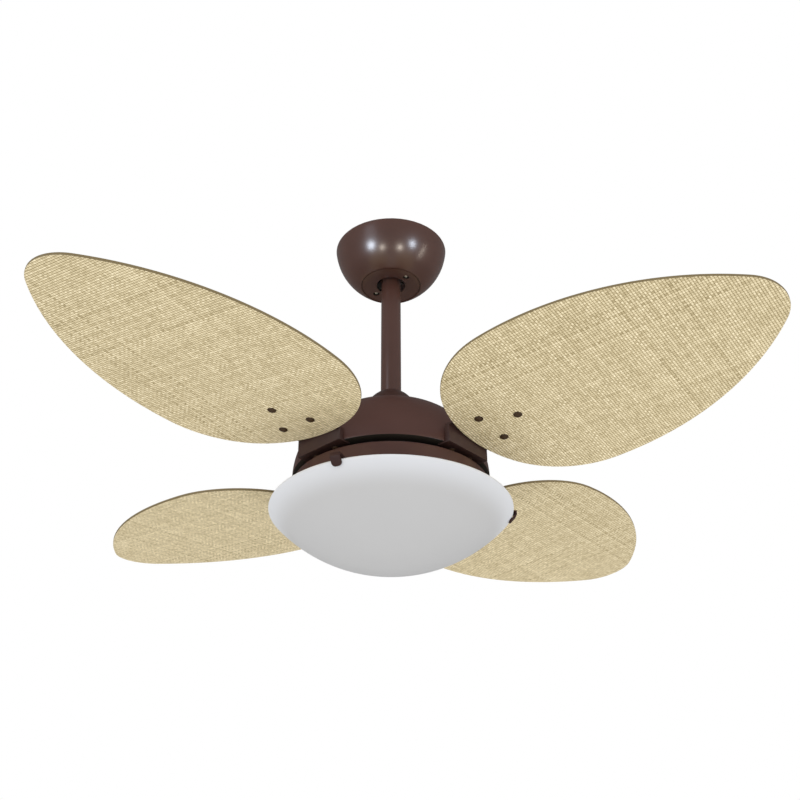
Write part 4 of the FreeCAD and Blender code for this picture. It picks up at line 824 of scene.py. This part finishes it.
def softEdged(nodeName, body, p):
    isClaw = nodeName.startswith("claw")
    width = p["clawEdge"] if isClaw else p["armEdge"]
    build = bmesh.new()
    build.from_mesh(frame["nodes"][nodeName].data)
    bmesh.ops.remove_doubles(build, verts=build.verts, dist=samePoint)
    flat, sharp = math.radians(p["flat"]), math.radians(p["corner"])
    bmesh.ops.dissolve_limit(build, angle_limit=flat, verts=build.verts, edges=build.edges)
    edges = [e for e in build.edges if e.is_manifold and e.calc_face_angle(0.0) > sharp]
    bmesh.ops.bevel(build, geom=edges, offset=width / 1000, segments=2, profile=0.5, affect="EDGES",
                    clamp_overlap=True)
    bmesh.ops.triangulate(build, faces=[f for f in build.faces if len(f.verts) > 4])
    name = nodeName.replace("_", "")
    obj = smoothObject(name, toMesh(build, name), angle=40)
    # the arms take the darker brown, whose colour holds painted shade
    finishPiece(obj, body, nodeSlots[nodeName], nodeName, finish=hookBrown if isClaw else satinBrown)


for nodeName, body in pressedBodies.items():
    softEdged(nodeName, body, pressed)
print("pressed pieces edged")

# blade screws: the solid's shanks with fuller heads under the blade
bladeScrew = {"fuller": 1.13, "reach": 60.0, "below": -0.1}  # reach: from the middle line of their blade


def islands(build):  # the separate shapes in one mesh
    loose = set(build.verts)
    for start in build.verts:
        island, waiting = set(), [start]
        while waiting:
            v = waiting.pop()
            if v in loose:
                loose.discard(v)
                island.add(v)
                waiting += [e.other_vert(v) for e in v.link_edges]
        if island:
            yield island


def makeBladeScrews(s):
    build = bmesh.new()
    build.from_mesh(frame["nodes"]["blade_screws"].data)
    bmesh.ops.remove_doubles(build, verts=build.verts, dist=samePoint)
    for island in islands(build):
        middle = sum((v.co for v in island), Vector()) / len(island)
        for number in range(bladeCount):
            place = bladeMatrix(blade, number)
            spot = place.inverted() @ middle
            if spot.x < 0 or abs(spot.y) * 1000 > s["reach"]:
                continue
            for v in island:
                here = place.inverted() @ v.co
                if here.z * 1000 < s["below"]:
                    here.xy = spot.xy + (here.xy - spot.xy) * s["fuller"]
                    v.co = place @ here
    obj = smoothObject("bladeScrewHeads", toMesh(build, "bladeScrewHeads"), angle=40)
    finishPiece(obj, "rotor", "brown_screw", "blade_screws")


makeBladeScrews(bladeScrew)
print("blade screws set")

# spring of the first claw, squeezed against the pan's wall when the claw is drawn out
spring = {"azimuth": pan["claws"][0], "start": 100.0, "wall": 122.4, "coil": 4.05, "wire": 0.45, "turns": 6,
          "stepsPerTurn": 24, "around": 8, "height": -387.5, "travel": 8.0}


def makeSpring(s):
    length = s["wall"] - s["start"] - 2 * s["wire"]
    steps = s["turns"] * s["stepsPerTurn"]
    ahead = Vector((1, 0, 0))
    wireAngles = np.linspace(0, 2 * math.pi, s["around"], endpoint=False)
    build = bmesh.new()
    rings = []
    for i in range(steps + 1):
        a = 2 * math.pi * s["turns"] * i / steps
        out = Vector((0, math.cos(a), math.sin(a)))
        centre = ahead * (s["start"] + s["wire"] + length * i / steps) + out * s["coil"]
        spokes = [out * math.cos(b) + ahead * math.sin(b) for b in wireAngles]
        rings.append([build.verts.new((centre + spoke * s["wire"]) / 1000) for spoke in spokes])
    for low, high in zip(rings, rings[1:]):
        bridge(build, low, high)
    build.faces.new(rings[0][::-1])
    build.faces.new(rings[-1])
    bmesh.ops.recalc_face_normals(build, faces=build.faces)
    azimuth, lift = math.radians(s["azimuth"]), Vector((0, 0, s["height"] / 1000))
    place = Matrix.Translation(lift) @ Matrix.Rotation(azimuth, 4, "Z")
    bmesh.ops.transform(build, verts=build.verts, matrix=place)
    obj = smoothObject("clawSpring", toMesh(build, "clawSpring"), angle=60)
    finishPiece(obj, "hanging_frame", nodeSlots["claw_spring"], "claw_spring")
    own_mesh(obj)


makeSpring(spring)
print("spring wound")

# camera at the photograph's place, in metres and degrees
camera = {"place": (0.8888, -0.9520, -1.0202), "turn": (120.81, 0.0, 43.03), "lens": 51.88, "sensor": 36.0,
          "shift": 0.0112, "near": 0.05}


def makeCamera(c):
    lens = bpy.data.cameras.new("camera")
    lens.lens = c["lens"]
    lens.sensor_width = c["sensor"]
    lens.shift_x = c["shift"]
    lens.clip_start = c["near"]
    eye = addObject("camera", lens)
    eye.location = c["place"]
    eye.rotation_euler = [math.radians(a) for a in c["turn"]]
    scene.camera = eye


# plain white room, dimmer in reflections, a pale floor far below and a patch of ceiling over the canopy
room = {"below": 0.98, "above": 1.12, "climbs": (-1.0, 0.4), "glossy": 0.16, "white": 1.0}
floor = {"height": -2.4, "half": 3.0, "colour": (222, 222, 220), "roughness": 0.8, "fadeFrom": 0.4}
ceiling = {"height": -0.0003, "radius": 0.0772, "colour": (225, 225, 222), "roughness": 0.9, "through": 0.2}


def makeRoom(r):
    scene.world = bpy.data.worlds.new("room")
    scene.world.use_nodes = True
    tree = scene.world.node_tree
    back = tree.nodes["Background"]
    back.inputs["Color"].default_value = (1, 1, 1, 1)
    up = splitAxes(tree, addNode(tree, "TexCoord").outputs["Generated"])["Z"]
    low, high = r["climbs"]
    climb = mapRange(tree, up, From_Min=low, From_Max=high, To_Min=r["below"], To_Max=r["above"])
    path = addNode(tree, "LightPath").outputs
    seen = mathNode(tree, "MAXIMUM", path["Is Camera Ray"], path["Is Transmission Ray"])
    level = mixNode(tree, path["Is Glossy Ray"], climb, r["glossy"])
    wire(tree, mixNode(tree, seen, level, r["white"]), back.inputs["Strength"])


def backdrop(name, points, material, height):
    mesh = bpy.data.meshes.new(name)
    mesh.from_pydata(points, [], [tuple(range(len(points)))])
    mesh.materials.append(material)
    obj = addObject(name, mesh)
    obj.location.z = height


def floorMaterial(f):  # pale in the middle, fading into the white room
    mat = plasticMaterial("paleFloor", linear(*f["colour"]), f["roughness"])
    tree = mat.node_tree
    away = addNode(tree, "VectorMath", operation="LENGTH")
    wire(tree, addNode(tree, "TexCoord").outputs["Object"], away.inputs[0])
    fade = mapRange(tree, away.outputs["Value"], interpolation_type="SMOOTHSTEP",
                    From_Min=f["half"] * f["fadeFrom"], From_Max=f["half"])
    clearAway(tree, tree.nodes["Principled BSDF"], fade)
    return mat


def ceilingMaterial(c):  # closed to a camera below, open to one above, and lets some light into the canopy
    mat, tree, shader = newMaterial("paleCeiling")
    setInputs(shader, Base_Color=linear(*c["colour"]) + (1,), Roughness=c["roughness"])
    behind = addNode(tree, "NewGeometry").outputs["Backfacing"]
    seen = addNode(tree, "LightPath").outputs["Is Camera Ray"]
    clearAway(tree, shader, mixNode(tree, seen, c["through"], behind))
    return mat


def makeFloor(f):
    half = f["half"]
    corners = [(-half, -half, 0.0), (half, -half, 0.0), (half, half, 0.0), (-half, half, 0.0)]
    backdrop("paleFloor", corners, floorMaterial(f), f["height"])


def makeCeiling(c):  # it looks down
    angles = np.linspace(2 * math.pi, 0, 48, endpoint=False)
    ring = [(c["radius"] * math.cos(a), c["radius"] * math.sin(a), c["height"]) for a in angles]
    backdrop("ceilingPatch", ring, ceilingMaterial(c), 0.0)


# lamps for the gloss only, the room lights the rest: two cool ones at the sides, two small warm ones near
# the camera, a tall glow over the left one and a thin strip at the right
cool, warm = (0.78, 0.87, 1.0), (1.0, 0.9, 0.78)
lampAim = Vector((0.03, -0.04, -0.1))
lamps = {
    "leftLamp": {"place": (-0.05, -1.93, -0.74), "size": 0.5, "power": 18.0, "colour": cool},
    "rightLamp": {"place": (1.98, 0.0, -0.61), "size": 0.4, "power": 11.5, "colour": cool},
    "warmLeft": {"place": (0.66, -1.63, -1.10), "size": 0.2, "power": 4.6, "colour": warm},
    "warmRight": {"place": (1.59, -0.755, -1.10), "size": 0.2, "power": 5.8, "colour": warm},
    "leftGlow": {"place": (0.09, -2.0, 0.0), "size": 0.7, "tall": 1.3, "power": 2.8, "colour": cool},
    "rightStrip": {"place": (1.70, 0.89, -0.62), "size": 0.1, "tall": 0.85, "power": 3.3, "colour": warm},
}


def makeLamp(name, settings):
    lamp = bpy.data.lights.new(name, "AREA")
    lamp.shape = "RECTANGLE" if "tall" in settings else "DISK"
    lamp.size = settings["size"]
    lamp.size_y = settings.get("tall", settings["size"])
    lamp.energy = settings["power"]
    lamp.color = settings["colour"]
    obj = addObject(name, lamp)
    obj.location = settings["place"]
    obj.rotation_euler = (lampAim - obj.location).to_track_quat("-Z", "Y").to_euler()
    obj.visible_diffuse = False


makeCamera(camera)
makeRoom(room)
makeFloor(floor)
makeCeiling(ceiling)
for name, settings in lamps.items():
    makeLamp(name, settings)
print("camera, room and lamps placed")
